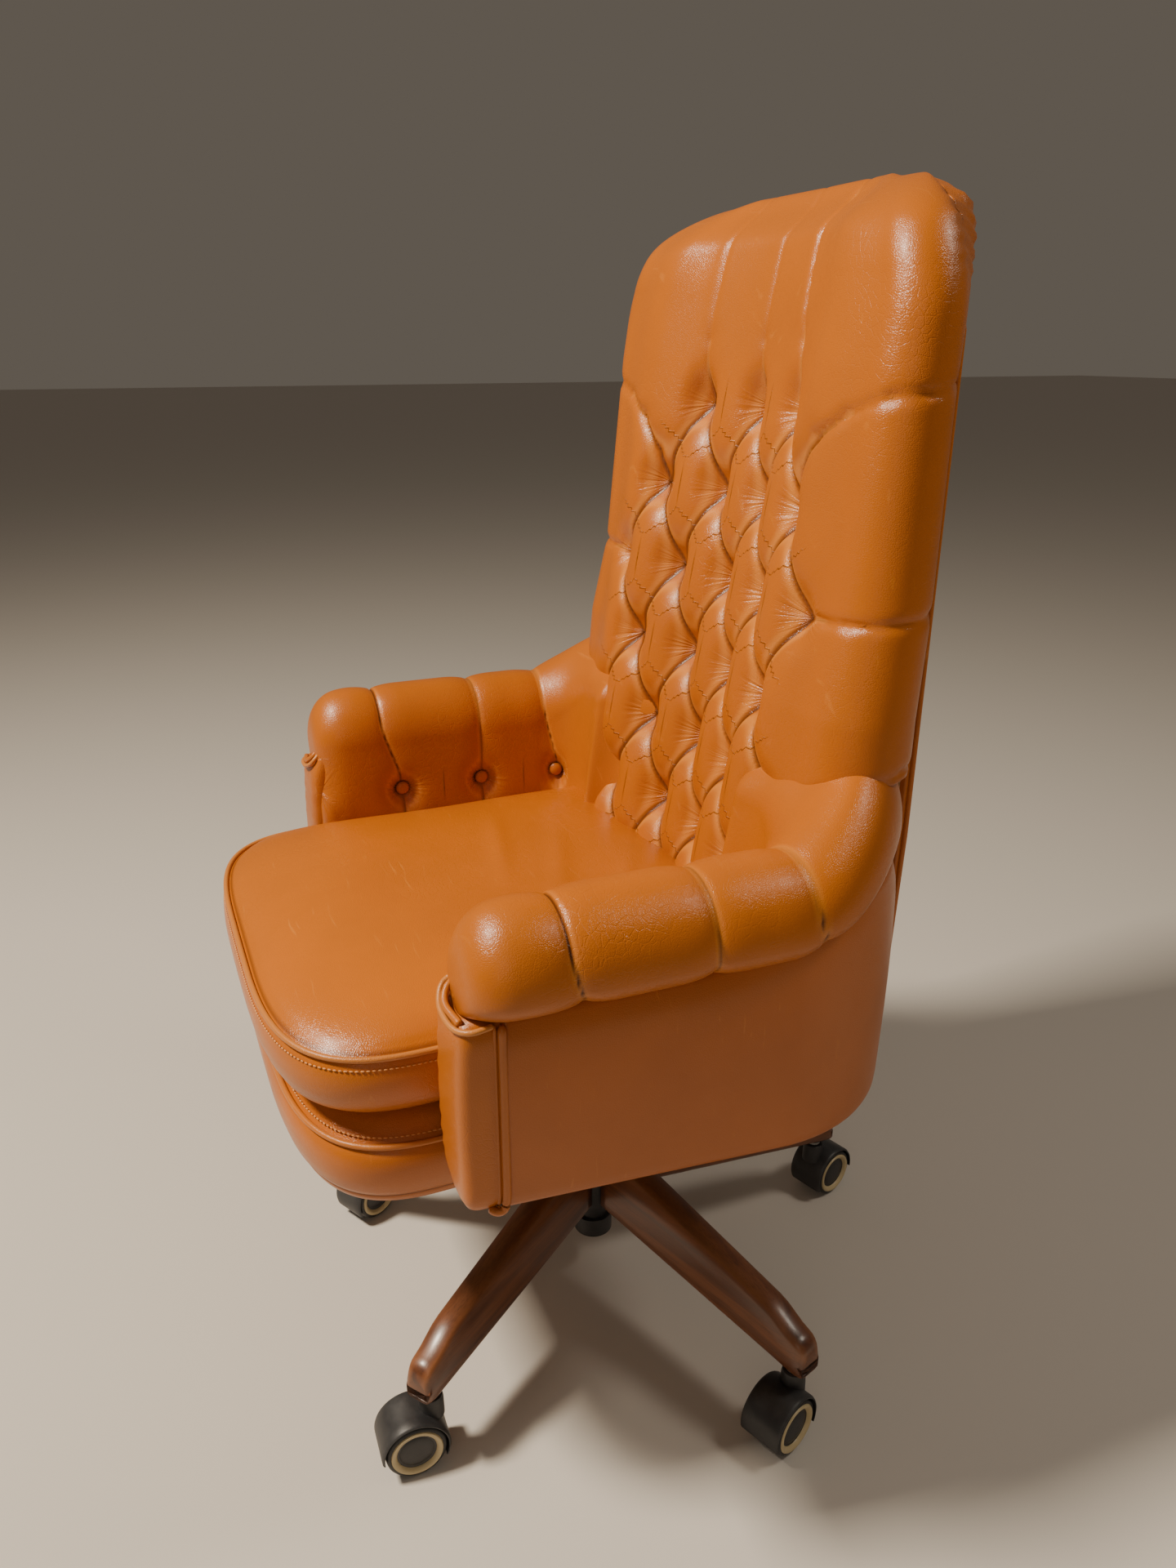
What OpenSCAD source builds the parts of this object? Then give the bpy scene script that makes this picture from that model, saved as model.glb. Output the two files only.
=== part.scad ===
// Swivel office chair: five wooden legs on twin-wheel casters, a gas column, a tilting
// mechanism and a tub seat with a high deep-buttoned back. Millimetres, +Z up.
// The origin is on the floor on the swivel axis, and the chair faces -Y.

/* [Base] */
// Distance from the swivel axis to each caster stem
stem_circle_r = 300; // [285:1:330]
// Direction of the first leg, in degrees from +X
first_leg_deg = 18; // [0:1:71]
// Height of a leg's underside above the floor at the caster
leg_under_z = 84; // [82:1:92]
// Height of a leg at its inner end
leg_root_h = 70; // [64:1:76]
// Height of a leg at its tip
leg_tip_h = 45; // [40:1:52]
// Width of a leg at its inner end
leg_root_w = 40; // [34:1:42]
// Width of a leg at its tip
leg_tip_w = 32; // [28:1:36]

/* [Casters] */
// Diameter of a caster wheel
wheel_d = 60; // [56:1:62]
// Width of one wheel of a twin caster
wheel_w = 18; // [14:1:20]
// Distance from the stem's axis to the axle
caster_trail = 20; // [16:1:24]
// Direction in which each caster trails, in degrees, leg by leg
caster_dir = [292, 109, 196, 118, 268];

/* [Column and mechanism] */
// Outside diameter of the column tube
column_d = 50; // [44:1:50]
// Diameter of the gas cylinder
cylinder_d = 28; // [26:1:30]
// Height that the seat can be raised
lift_travel = 90; // [60:5:95]
// Height of the tilting pivot above the floor
pivot_z = 330; // [329:1:331]

/* [Seat] */
// Width of the seat between the arms
seat_w = 486; // [470:2:488]
// Front of the seat cushion, ahead of the swivel axis
cushion_front = 358; // [340:1:370]
// Height of the top edge of the seat cushion
cushion_top_z = 502; // [490:1:510]
// Thickness of the seat cushion
cushion_t = 68; // [50:1:70]

/* [Arms] */
// Overall width across the outside panels
shell_w = 640; // [640:1:644]
// Radius of an arm's padded roll
roll_r = 56; // [50:1:56]
// Height of the roll's centre
roll_z = 583.5; // [580:0.5:590]
// Distance from the middle of the chair to a roll's centre
roll_x = 290; // [290:1:292]
// Front of the arms, ahead of the swivel axis
arm_front_y = 236; // [225:1:240]

/* [Back] */
// Height of the top of the back
back_top_z = 1142; // [1100:1:1160]
// Width of the back above the arms
back_w = 532; // [510:2:560]
// Rake of the sitter's side of the back, in degrees
rake = 10.3; // [9:0.1:11]
// Rake of the outside of the back, in degrees
rear_rake = 2.6; // [2:0.1:3]
// Radius of the back's top corners, seen from the front
back_corner_r = 105; // [60:1:120]

/* [Hidden] */
$fn = 96;
LEGS = [0, 1, 2, 3, 4];

play = 0.04;          // radial clearance of a running fit
gap = 0.4;            // space between soft pieces
hub_r = 38;
hub_z = [104, 186];
leg_bottom_root_z = 112;
leg_tip_r = stem_circle_r + 20;
stud_r = 4;
stud_z = [128, 160];
stud_from = 29.5;
stud_to = 82;
socket_r = 8;
socket_top_z = 112;
stem_r = 5.5;
stem_base_z = 66;
stem_top_z = 104;
axle_r = 4;
axle_half = 20.2;
wheel_r = wheel_d / 2;
web_half = 4;
wheel_in = 4.6;
hood_r = wheel_r + 1.5;
hood_t = 2.2;
hood_half = wheel_in + wheel_w + 0.9;
hood_top_z = 77;

tube_r = column_d / 2;
neck_r = 17;
neck_z = [72, 106];
tube_top_z = 255;
cyl_r = cylinder_d / 2;
cyl_z = [132, 322];
rod_r = 5;
piston_r = 10.9;
piston_z = [238, 250];
housing_z = [296, 340];
pivot_y = -40;
pin_r = 6;
plate_z = 345.5;
plate_t = 5;
ear_x = 68;
knob_y = -92;
knob_z = 246;

half_w = shell_w / 2;
seat_half = seat_w / 2;
panel_t = 9;
shell_corner_r = 186;
shell_rear_y = 221.5;
shell_front_y = -211;
shell_low_z = 381;
shell_low_slope = 4.5;
panel_top_z = 531;
shell_top_z = 575;
rear_panel_half = 205;
rear_panel_top_half = 184;
rear_panel_t = 8;
board_t = 15;
arm_board_x = [272, 300];
arm_inner_x = seat_half + 2;
arm_low_z = 398;
arm_rear_y = 68;
deck_z = [361, 430];
back_base_z = 445;
wing_z = [578, 606];

function leg_deg(k) = first_leg_deg + 72 * k;
function rear_y(z) = shell_rear_y - 7 + tan(rear_rake) * (z - 360);
function front_y(z) = 127 + tan(rake) * (z - 635) - 26;

// ---- base ----

module on_leg(k) {
  rotate([0, 0, leg_deg(k)]) children();
}

module on_stem(k) {
  translate([stem_circle_r * cos(leg_deg(k)), stem_circle_r * sin(leg_deg(k)), 0])
    rotate([0, 0, caster_dir[k]])
      children();
}

module studs_of_leg(k) {
  on_leg(k)
    for (z = stud_z)
      translate([stud_from, 0, z])
        rotate([0, 90, 0])
          cylinder(r = stud_r, h = stud_to - stud_from);
}

module base_hub() {
  color("dimgray")
    difference() {
      translate([0, 0, hub_z[0]]) cylinder(r = hub_r, h = hub_z[1] - hub_z[0]);
      translate([0, 0, hub_z[0] - 1]) cylinder(r = tube_r, h = hub_z[1] - hub_z[0] + 2);
      for (k = LEGS) studs_of_leg(k);
    }
}

// A leg seen from the side: x runs outwards from the swivel axis.
module leg_side() {
  top_tip_z = leg_under_z + leg_tip_h;
  nose_r = 14;
  polygon(concat(
    [[hub_r - 4, leg_bottom_root_z], [stem_circle_r - 32, leg_under_z],
     [leg_tip_r - 4, leg_under_z], [leg_tip_r, leg_under_z + 4]],
    [for (a = [0:15:90])
      [leg_tip_r - nose_r + nose_r * cos(a), top_tip_z - nose_r + nose_r * sin(a)]],
    [[hub_r + 30, leg_bottom_root_z + leg_root_h], [hub_r - 4, leg_bottom_root_z + leg_root_h]]));
}

// A leg seen from above, with a rounded tip.
module leg_plan() {
  tip_r = 9;
  polygon(concat(
    [[hub_r - 6, -leg_root_w / 2]],
    [for (a = [-90:15:0])
      [leg_tip_r - tip_r + tip_r * cos(a), -leg_tip_w / 2 + tip_r + tip_r * sin(a)]],
    [for (a = [0:15:90])
      [leg_tip_r - tip_r + tip_r * cos(a), leg_tip_w / 2 - tip_r + tip_r * sin(a)]],
    [[hub_r - 6, leg_root_w / 2]]));
}

module leg(k) {
  color("saddlebrown")
    difference() {
      on_leg(k)
        intersection() {
          rotate([90, 0, 0]) linear_extrude(leg_root_w + 2, center = true) leg_side();
          translate([0, 0, 60]) linear_extrude(160) leg_plan();
        }
      translate([0, 0, 90]) cylinder(r = hub_r + 0.05, h = 110);
      on_leg(k)
        translate([stem_circle_r, 0, leg_under_z - 1])
          cylinder(r = socket_r, h = socket_top_z - leg_under_z + 1);
      studs_of_leg(k);
    }
}

module leg_studs() {
  color("silver") for (k = LEGS) studs_of_leg(k);
}

module caster_sockets() {
  color("silver")
    for (k = LEGS)
      on_leg(k)
        translate([stem_circle_r, 0, 0])
          difference() {
            translate([0, 0, leg_under_z - 2.5]) cylinder(r = socket_r, h = socket_top_z - leg_under_z + 2.5);
            translate([0, 0, leg_under_z - 4]) cylinder(r = stem_r + play, h = socket_top_z - leg_under_z);
          }
}

module column_tube() {
  bore_low_z = neck_z[1];
  guide_z = tube_top_z - 20;
  color("black")
    difference() {
      union() {
        translate([0, 0, 100]) cylinder(r = tube_r, h = tube_top_z - 100);
        translate([0, 0, neck_z[0]]) cylinder(r = neck_r, h = 100 - neck_z[0]);
      }
      translate([0, 0, bore_low_z]) cylinder(r = tube_r - 2.5, h = guide_z - bore_low_z);
      translate([0, 0, guide_z - 1]) cylinder(r = cyl_r + play, h = 30);
      translate([0, 0, neck_z[0] - 1]) cylinder(r = rod_r + play, h = 60);
    }
}

module column_cap() {
  cap_r = 21.5;
  color("black")
    difference() {
      translate([0, 0, 50]) cylinder(r = cap_r, h = neck_z[0] - 50);
      translate([0, 0, 56]) cylinder(r = 12, h = neck_z[0] - 55);
    }
}

// ---- gas spring ----

module piston_rod() {
  color("silver")
    rotate_extrude()
      polygon([[0, 63], [rod_r, 63], [rod_r, piston_z[0]], [piston_r, piston_z[0]],
               [piston_r, piston_z[1]], [0, piston_z[1]]]);
}

module thrust_bearing() {
  color("gray")
    difference() {
      translate([0, 0, neck_z[1] + 0.05]) cylinder(r = 14, h = 8);
      translate([0, 0, neck_z[1] - 1]) cylinder(r = rod_r, h = 12);
    }
}

module gas_cylinder() {
  foot_z = cyl_z[0] + 15;
  color("dimgray")
    difference() {
      translate([0, 0, cyl_z[0]]) cylinder(r = cyl_r, h = cyl_z[1] - cyl_z[0]);
      translate([0, 0, foot_z]) cylinder(r = piston_r + play, h = 160);
      translate([0, 0, cyl_z[0] - 1]) cylinder(r = rod_r + play, h = 30);
    }
}

// ---- tilting mechanism ----

module tilt_housing() {
  wall_x = 60;
  lever_y = 20;
  color("dimgray")
    difference() {
      union() {
        difference() {
          rotate([90, 0, 90])
            linear_extrude(2 * wall_x, center = true)
              polygon([[-118, housing_z[0]], [60, housing_z[0]], [60, housing_z[1] - 22],
                       [pivot_y + 10, housing_z[1]], [-118, housing_z[1]]]);
          translate([-wall_x + 4, -114, housing_z[0] + 5]) cube([2 * wall_x - 8, 170, 60]);
        }
        translate([0, 0, housing_z[0]]) cylinder(r = cyl_r + 8, h = cyl_z[1] - housing_z[0]);
        for (y = [lever_y - 10, lever_y + 6])
          translate([-wall_x - 14, y, housing_z[0] + 8]) cube([14.5, 4, 24]);
        translate([-wall_x - 7, lever_y - 8, housing_z[0] + 20])
          rotate([-90, 0, 0]) cylinder(r = 4, h = 16);
        translate([0, knob_y, housing_z[0]]) cylinder(r = 12, h = 16);
      }
      translate([0, 0, housing_z[0] - 1]) cylinder(r = cyl_r, h = cyl_z[1] - housing_z[0] + 1);
      translate([-80, pivot_y, pivot_z]) rotate([0, 90, 0]) cylinder(r = pin_r, h = 160);
      translate([0, knob_y, housing_z[0] - 1]) cylinder(r = 5 + play, h = 30);
    }
}

module pivot_pin() {
  color("silver")
    translate([-ear_x - 10, pivot_y, pivot_z])
      rotate([0, 90, 0])
        cylinder(r = pin_r, h = 2 * ear_x + 20);
}

module tilt_spring() {
  wire_r = 2.2;
  color("silver")
    for (i = [0:6])
      translate([0, knob_y, housing_z[0] - wire_r - 0.1 - i * 2 * wire_r])
        rotate_extrude()
          translate([11, 0]) circle(r = wire_r, $fn = 24);
}

module tension_knob() {
  knob_r = 23;
  grip = 9;
  color("black")
    union() {
      translate([0, knob_y, knob_z + 1]) cylinder(r = 5, h = housing_z[0] + 14 - knob_z);
      difference() {
        translate([0, knob_y, knob_z]) cylinder(r = knob_r, h = 17);
        for (a = [0:360 / grip:359])
          translate([(knob_r + 2) * cos(a), knob_y + (knob_r + 2) * sin(a), knob_z - 1])
            cylinder(r = 4, h = 19);
      }
    }
}

module lift_lever() {
  lever_y = 20;
  eye_x = -67;
  lever_z = housing_z[0] + 20;
  color("black")
    difference() {
      union() {
        translate([eye_x, lever_y - 4, lever_z]) rotate([-90, 0, 0]) cylinder(r = 6.5, h = 8);
        translate([eye_x - 150, lever_y, lever_z]) rotate([0, 90, 0]) cylinder(r = 4, h = 145);
        translate([eye_x - 172, lever_y - 9, lever_z - 3]) cube([46, 18, 6]);
      }
      translate([eye_x, lever_y - 6, lever_z]) rotate([-90, 0, 0]) cylinder(r = 4 + play, h = 12);
    }
}

module tilt_plate() {
  ear_t = 5;
  color("dimgray")
    difference() {
      union() {
        translate([-90, -125, plate_z]) cube([180, 210, plate_t]);
        for (s = [-1, 1])
          translate([s * ear_x - ear_t / 2, pivot_y - 14, pivot_z - 12])
            cube([ear_t, 28, plate_z - pivot_z + 13]);
      }
      translate([-90, pivot_y, pivot_z]) rotate([0, 90, 0]) cylinder(r = pin_r + play, h = 180);
      for (x = [-75, 75], y = [-105, 65])
        translate([x, y, plate_z - 1]) cylinder(r = 4, h = plate_t + 2);
    }
}

module plate_bolts() {
  head_h = 4;
  color("silver")
    for (x = [-75, 75], y = [-105, 65])
      translate([x, y, 0]) {
        translate([0, 0, plate_z - head_h]) cylinder(r = 6.5, h = head_h);
        translate([0, 0, plate_z - 0.01]) cylinder(r = 4, h = 40);
      }
}

// ---- seat ----

// The seat's plan: straight between the arms, with a bowed, round-cornered front.
module seat_plan(half, front, rear) {
  corner_r = 80;
  bow = 14;
  side_y = -front + bow + corner_r;
  polygon(concat(
    [[half, rear], [-half, rear]],
    [for (a = [180:10:260])
      [-half + corner_r + corner_r * cos(a), side_y + corner_r * sin(a)]],
    [for (t = [-0.6:0.2:0.61])
      [t * half, -front + bow * t * t]],
    [for (a = [280:10:360])
      [half - corner_r + corner_r * cos(a), side_y + corner_r * sin(a)]]));
}

module seat_frame() {
  inset = 26;
  color("burlywood")
    difference() {
      union() {
        translate([0, 0, deck_z[0]])
          linear_extrude(24) seat_plan(seat_half - inset, cushion_front - 22 - inset, 150);
        translate([0, 0, deck_z[0] + 23.9])
          linear_extrude(cushion_top_z - cushion_t - gap - deck_z[0] - 23.9)
            seat_plan(seat_half - inset, cushion_front - 50, 60);
        for (s = [-1, 1]) {
          translate([s > 0 ? arm_board_x[0] : -arm_board_x[1], shell_front_y + 2, 396])
            cube([arm_board_x[1] - arm_board_x[0], 280, 130]);
          translate([s > 0 ? 200 : -arm_board_x[1], shell_front_y + 6, 388])
            cube([arm_board_x[1] - 200, 280, 14]);
        }
      }
      for (x = [-75, 75], y = [-105, 65])
        translate([x, y, deck_z[0] - 1]) cylinder(r = 4, h = 40 - (deck_z[0] - plate_z) + 1);
    }
}

module front_rail() {
  color("sienna")
    translate([0, 0, deck_z[0] - 1])
      linear_extrude(42)
        difference() {
          seat_plan(seat_half - 1, cushion_front - 22, -214);
          seat_plan(seat_half - 26 + gap, cushion_front - 48 + gap, 0);
        }
}

module seat_cushion() {
  edge = 8;
  color("chocolate")
    translate([0, 0, cushion_top_z - cushion_t])
      hull() {
        linear_extrude(1) seat_plan(seat_half - edge, cushion_front - edge, 38);
        translate([0, 0, edge]) linear_extrude(cushion_t - 2 * edge) seat_plan(seat_half, cushion_front, 45);
        translate([0, 0, cushion_t - 1]) linear_extrude(1) seat_plan(seat_half - edge, cushion_front - edge, 50);
        translate([0, 0, cushion_t + 12]) linear_extrude(1) seat_plan(seat_half - 70, cushion_front - 80, 10);
      }
}

// ---- arms ----

module arm_pad(s) {
  color("chocolate")
    union() {
      translate([s * roll_x, -arm_front_y + roll_r, roll_z])
        rotate([-90, 0, 0]) cylinder(r = roll_r, h = arm_rear_y + arm_front_y - roll_r);
      translate([s * roll_x, -arm_front_y + roll_r, roll_z]) sphere(r = roll_r);
      translate([s > 0 ? arm_inner_x : -arm_board_x[0] + gap, -arm_front_y + 26, 410])
        cube([arm_board_x[0] - gap - arm_inner_x, arm_rear_y + arm_front_y - 26, roll_z - 410]);
    }
}

// The panel below the roll that faces forwards, rounded at its outer corner.
module arm_front(s) {
  inner = arm_inner_x + 8;
  outer = half_w - 1;
  front = -arm_front_y - 1;
  round_r = 22;
  points = concat(
    [[outer, shell_front_y - 1], [outer, front + round_r]],
    [for (a = [0:-15:-90]) [outer - round_r + round_r * cos(a), front + round_r + round_r * sin(a)]],
    [[inner + 6, front], [inner, front + 6], [inner, shell_front_y - 1]]);
  color("chocolate")
    translate([0, 0, arm_low_z])
      linear_extrude(roll_z - roll_r - gap - arm_low_z)
        polygon([for (p = points) [s * p[0], p[1]]]);
}

// Outside of the tub in plan: straight sides, round rear corners and a flat rear.
module shell_plan(inset) {
  r = shell_corner_r - inset;
  cx = half_w - shell_corner_r;
  cy = shell_rear_y - shell_corner_r;
  translate([-half_w + inset, shell_front_y]) square([shell_w - 2 * inset, cy - shell_front_y]);
  translate([-cx, 0]) square([2 * cx, shell_rear_y - inset]);
  for (s = [-1, 1]) translate([s * cx, cy]) circle(r = r);
}

module outside_arm(s) {
  color("chocolate")
    difference() {
      translate([0, 0, 340])
        linear_extrude(shell_top_z - 340)
          intersection() {
            difference() {
              shell_plan(0);
              shell_plan(panel_t);
            }
            translate([s > 0 ? rear_panel_half + 1 : -400, shell_front_y])
              square([400 - rear_panel_half - 1, 500]);
          }
      translate([-400, 0, shell_low_z - 100])
        rotate([-shell_low_slope, 0, 0])
          translate([0, -400, 0]) cube([800, 800, 100]);
      translate([-400, -400, panel_top_z]) cube([800, 400 + arm_rear_y + 1, 200]);
    }
}

module arm_buttons() {
  button_r = 9;
  color("sienna")
    for (s = [-1, 1], y = [-137, -41, 55])
      translate([s * (arm_inner_x - 0.2), y, 525])
        rotate([0, -s * 90, 0])
          intersection() {
            translate([0, 0, -9]) sphere(r = 12.5);
            cylinder(r = button_r, h = 5);
          }
}

// ---- back ----

module raked_rear() {
  translate([0, rear_y(360), 360]) rotate([-rear_rake, 0, 0]) children();
}

// The back seen from the front: x across, y upwards from the tub's lower edge.
module back_face(half, top_half, top, corner) {
  polygon(concat(
    [[-half, 8], [half, 8], [half, 230]],
    [for (a = [0:10:90]) [top_half - corner + corner * cos(a), top - corner + corner * sin(a)]],
    [for (a = [90:10:180]) [-top_half + corner + corner * cos(a), top - corner + corner * sin(a)]],
    [[-half, 230]]));
}

module outside_back() {
  color("chocolate")
    raked_rear()
      rotate([90, 0, 0])
        linear_extrude(rear_panel_t)
          back_face(rear_panel_half, rear_panel_top_half, back_top_z - 360 - 42, 55);
}

module back_frame() {
  color("burlywood")
    raked_rear()
      translate([0, -rear_panel_t, 0])
        rotate([90, 0, 0])
          linear_extrude(board_t)
            back_face(rear_panel_half - 5, rear_panel_top_half - 5, back_top_z - 360 - 50, 55);
}

// One level of the padded back: the hollowed front, round edges and a flat rear.
function top_round(z, r) = z < back_top_z - r ? 0 : r - sqrt(max(0, pow(r, 2) - pow(z - back_top_z + r, 2)));
function wing_share(z) = min(1, max(0, (z - wing_z[0]) / (wing_z[1] - wing_z[0])));
function back_half(z) =
  (seat_half - 5) * (1 - wing_share(z)) + back_w / 2 * wing_share(z) - top_round(z, back_corner_r) * 0.95;
function back_section(z) =
  let (half = back_half(z),
       edge = 38,
       yf = front_y(z) + top_round(z, 40) * 0.55,
       yr = rear_y(z) - rear_panel_t - board_t - 1.2 - top_round(z, 40) * 0.1,
       sag = z < 800 ? 30 : 30 - (z - 800) * 0.05,
       flat = half - edge,
       ye = yf - sag * pow(flat / 300, 2),
       rc = min(60, yr - ye - edge))
  concat(
    [for (i = [-8:8]) let (x = flat * i / 8) [x, yf - sag * pow(x / 300, 2), z]],
    [for (a = [-75:15:0]) [flat + edge * cos(a), ye + edge + edge * sin(a), z]],
    [for (a = [0:15:90]) [half - rc + rc * cos(a), yr - rc + rc * sin(a), z]],
    [for (a = [90:15:180]) [-half + rc + rc * cos(a), yr - rc + rc * sin(a), z]],
    [for (a = [180:15:255]) [-flat + edge * cos(a), ye + edge + edge * sin(a), z]]);

// A closed skin through a list of equal rings, from the lowest to the highest.
module skin(rings) {
  n = len(rings[0]);
  last = len(rings) - 1;
  polyhedron(
    points = [for (ring = rings) each ring],
    faces = concat(
      [[for (i = [n - 1:-1:0]) n - 1 - i]],
      [for (j = [0:last - 1], i = [0:n - 1])
        [j * n + i, (j + 1) * n + i, (j + 1) * n + (i + 1) % n, j * n + (i + 1) % n]],
      [[for (i = [0:n - 1]) last * n + n - 1 - i]]));
}

module back_pad() {
  levels = concat([back_base_z, 520, wing_z[0], wing_z[1], 660, 720, 800, 880, 960, 1020],
                  [for (t = [0:12:84]) back_top_z - back_corner_r + back_corner_r * sin(t)]);
  color("chocolate") skin([for (z = levels) back_section(z)]);
}

module welts() {
  welt_r = 2.5;
  color("peru")
    for (s = [-1, 1]) {
      translate([s * (half_w + welt_r - 1), shell_front_y - 0.5 - welt_r, 402])
        cylinder(r = welt_r, h = 130, $fn = 24);
      raked_rear()
        translate([s * (rear_panel_half - 8), welt_r + 0.1, 20])
          cylinder(r = welt_r, h = 205, $fn = 24);
    }
}

// ---- casters ----

module caster_stem(k) {
  color("silver")
    on_stem(k) {
      translate([0, 0, stem_base_z]) cylinder(r = stem_r, h = stem_top_z - stem_base_z);
      translate([0, 0, hood_top_z]) cylinder(r = stem_r + 2.5, h = 2.5);
    }
}

module caster_hood(k) {
  color("black")
    on_stem(k)
      difference() {
        union() {
          translate([caster_trail, web_half, wheel_r])
            rotate([90, 0, 0]) cylinder(r = wheel_r - 6, h = 2 * web_half);
          difference() {
            union() {
              translate([caster_trail, hood_half, wheel_r])
                rotate([90, 0, 0]) cylinder(r = hood_r + hood_t, h = 2 * hood_half);
              translate([0, 0, wheel_r + 20]) cylinder(r = 10, h = hood_top_z - wheel_r - 20);
            }
            for (s = [-1, 1])
              translate([caster_trail, s > 0 ? hood_half + 1 : -web_half, wheel_r])
                rotate([90, 0, 0]) cylinder(r = hood_r, h = hood_half - web_half + 1);
            translate([-60, -40, -20]) cube([140, 80, wheel_r + 28]);
          }
        }
        translate([caster_trail, 30, wheel_r]) rotate([90, 0, 0]) cylinder(r = axle_r, h = 60);
        translate([0, 0, stem_base_z]) cylinder(r = stem_r, h = 30);
      }
}

module caster_axle(k) {
  color("silver")
    on_stem(k)
      translate([caster_trail, axle_half, wheel_r])
        rotate([90, 0, 0]) cylinder(r = axle_r, h = 2 * axle_half);
}

// A wheel: tread, raised ring and sunken cap, with a blind bore for the axle.
module wheel(k, side) {
  out = wheel_w;
  bore_r = axle_r + play;
  color("black")
    on_stem(k)
      translate([caster_trail, side * wheel_in, wheel_r])
        rotate([-side * 90, 0, 0])
          rotate_extrude()
            polygon([[bore_r, 0], [wheel_r - 2, 0], [wheel_r, 2], [wheel_r, out - 3],
                     [wheel_r - 3, out - 0.6], [26, out], [21, out], [20, out - 1.5],
                     [0, out - 1.5], [0, axle_half - wheel_in + 0.15], [bore_r, axle_half - wheel_in + 0.15]]);
}

base_hub();
for (k = LEGS) leg(k);
caster_sockets();
leg_studs();
column_tube();
column_cap();
piston_rod();
thrust_bearing();
gas_cylinder();
tilt_housing();
tilt_spring();
pivot_pin();
tension_knob();
lift_lever();
tilt_plate();
plate_bolts();
seat_frame();
front_rail();
seat_cushion();
back_frame();
back_pad();
outside_back();
arm_pad(1);  // arm_pad_left
arm_pad(-1);  // arm_pad_right
arm_front(1);  // arm_front_left
arm_front(-1);  // arm_front_right
outside_arm(1);  // outside_arm_left
outside_arm(-1);  // outside_arm_right
arm_buttons();
welts();
for (k = LEGS) caster_stem(k);
for (k = LEGS) caster_hood(k);
for (k = LEGS) caster_axle(k);
for (k = LEGS) wheel(k, 1);
for (k = LEGS) wheel(k, -1);
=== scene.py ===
# Swivel office chair: deep-buttoned leather tub seat on a wooden five-star base.
import math
import bmesh
import bpy
import numpy as np
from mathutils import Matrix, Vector


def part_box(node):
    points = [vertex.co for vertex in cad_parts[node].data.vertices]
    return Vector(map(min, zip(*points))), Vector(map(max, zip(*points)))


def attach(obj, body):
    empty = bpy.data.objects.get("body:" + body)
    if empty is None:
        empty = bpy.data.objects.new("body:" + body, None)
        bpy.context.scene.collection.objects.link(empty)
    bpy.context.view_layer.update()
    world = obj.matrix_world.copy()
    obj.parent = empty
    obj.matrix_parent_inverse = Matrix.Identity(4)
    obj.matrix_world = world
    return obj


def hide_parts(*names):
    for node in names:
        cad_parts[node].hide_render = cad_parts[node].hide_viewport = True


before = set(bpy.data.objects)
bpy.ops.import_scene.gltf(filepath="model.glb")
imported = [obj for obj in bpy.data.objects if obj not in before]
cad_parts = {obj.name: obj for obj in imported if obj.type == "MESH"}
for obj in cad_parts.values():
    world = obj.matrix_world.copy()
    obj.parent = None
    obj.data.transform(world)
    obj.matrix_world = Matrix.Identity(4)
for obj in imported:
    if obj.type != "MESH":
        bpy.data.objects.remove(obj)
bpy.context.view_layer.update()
LEGS = range(1, 6)
SIDES = {"left": 1, "right": -1}


# ---- small tools ----

def smoothstep(low, high, x):
    """Runs smoothly from 0 at low to 1 at high; low may be the larger."""
    t = np.clip((x - low) / (high - low), 0, 1)
    return t * t * (3 - 2 * t)


def quarter(t):
    """A round shoulder: steep at 0, level from 1 on."""
    return np.sqrt(np.clip(1 - (1 - np.clip(t, 0, 1)) ** 2, 0, 1))


def segment_distance(px, py, ax, ay, bx, by):
    """Distance from points to a segment, and how far along it the nearest point lies, 0 to 1."""
    dx, dy = bx - ax, by - ay
    t = np.clip(((px - ax) * dx + (py - ay) * dy) / (dx * dx + dy * dy), 0, 1)
    return np.hypot(px - ax - t * dx, py - ay - t * dy), t


def grid_faces(rows, cols, loop):
    """The four-sided faces of a grid of points, closed round its rows when it is a loop."""
    j, i = np.meshgrid(np.arange(rows - 1), np.arange(cols if loop else cols - 1), indexing="ij")
    a = (j * cols + i).ravel()
    b = (j * cols + (i + 1) % cols).ravel()
    return np.stack([a, b, b + cols, a + cols], -1)


def grid_normals(points, loop):
    """Unit normals of a grid of points, from its two directions."""
    if loop:
        across = np.roll(points, -1, 1) - np.roll(points, 1, 1)
    else:
        across = np.gradient(points, axis=1)
    along = np.gradient(points, axis=0)
    normals = np.cross(across, along)
    return normals / np.maximum(np.linalg.norm(normals, axis=-1, keepdims=True), 1e-9)


def new_piece(name, points, faces, material):
    """A smooth-shaded mesh object with one material."""
    mesh = bpy.data.meshes.new(name)
    corners = [tuple(p) for p in np.asarray(points, float).reshape(-1, 3)]
    mesh.from_pydata(corners, [], [tuple(f) for f in faces])
    piece = bpy.data.objects.new(name, mesh)
    bpy.context.scene.collection.objects.link(piece)
    mesh.materials.append(material)
    mesh.shade_smooth()
    return piece


def set_values(piece, name, values):
    """Stores a value or a vector per vertex for the materials to read."""
    values = np.asarray(values, float)
    kind = "FLOAT_VECTOR" if values.ndim > 1 and values.shape[-1] == 3 else "FLOAT"
    layer = piece.data.attributes.new(name, kind, "POINT")
    layer.data.foreach_set("vector" if kind == "FLOAT_VECTOR" else "value", values.ravel())


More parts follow.
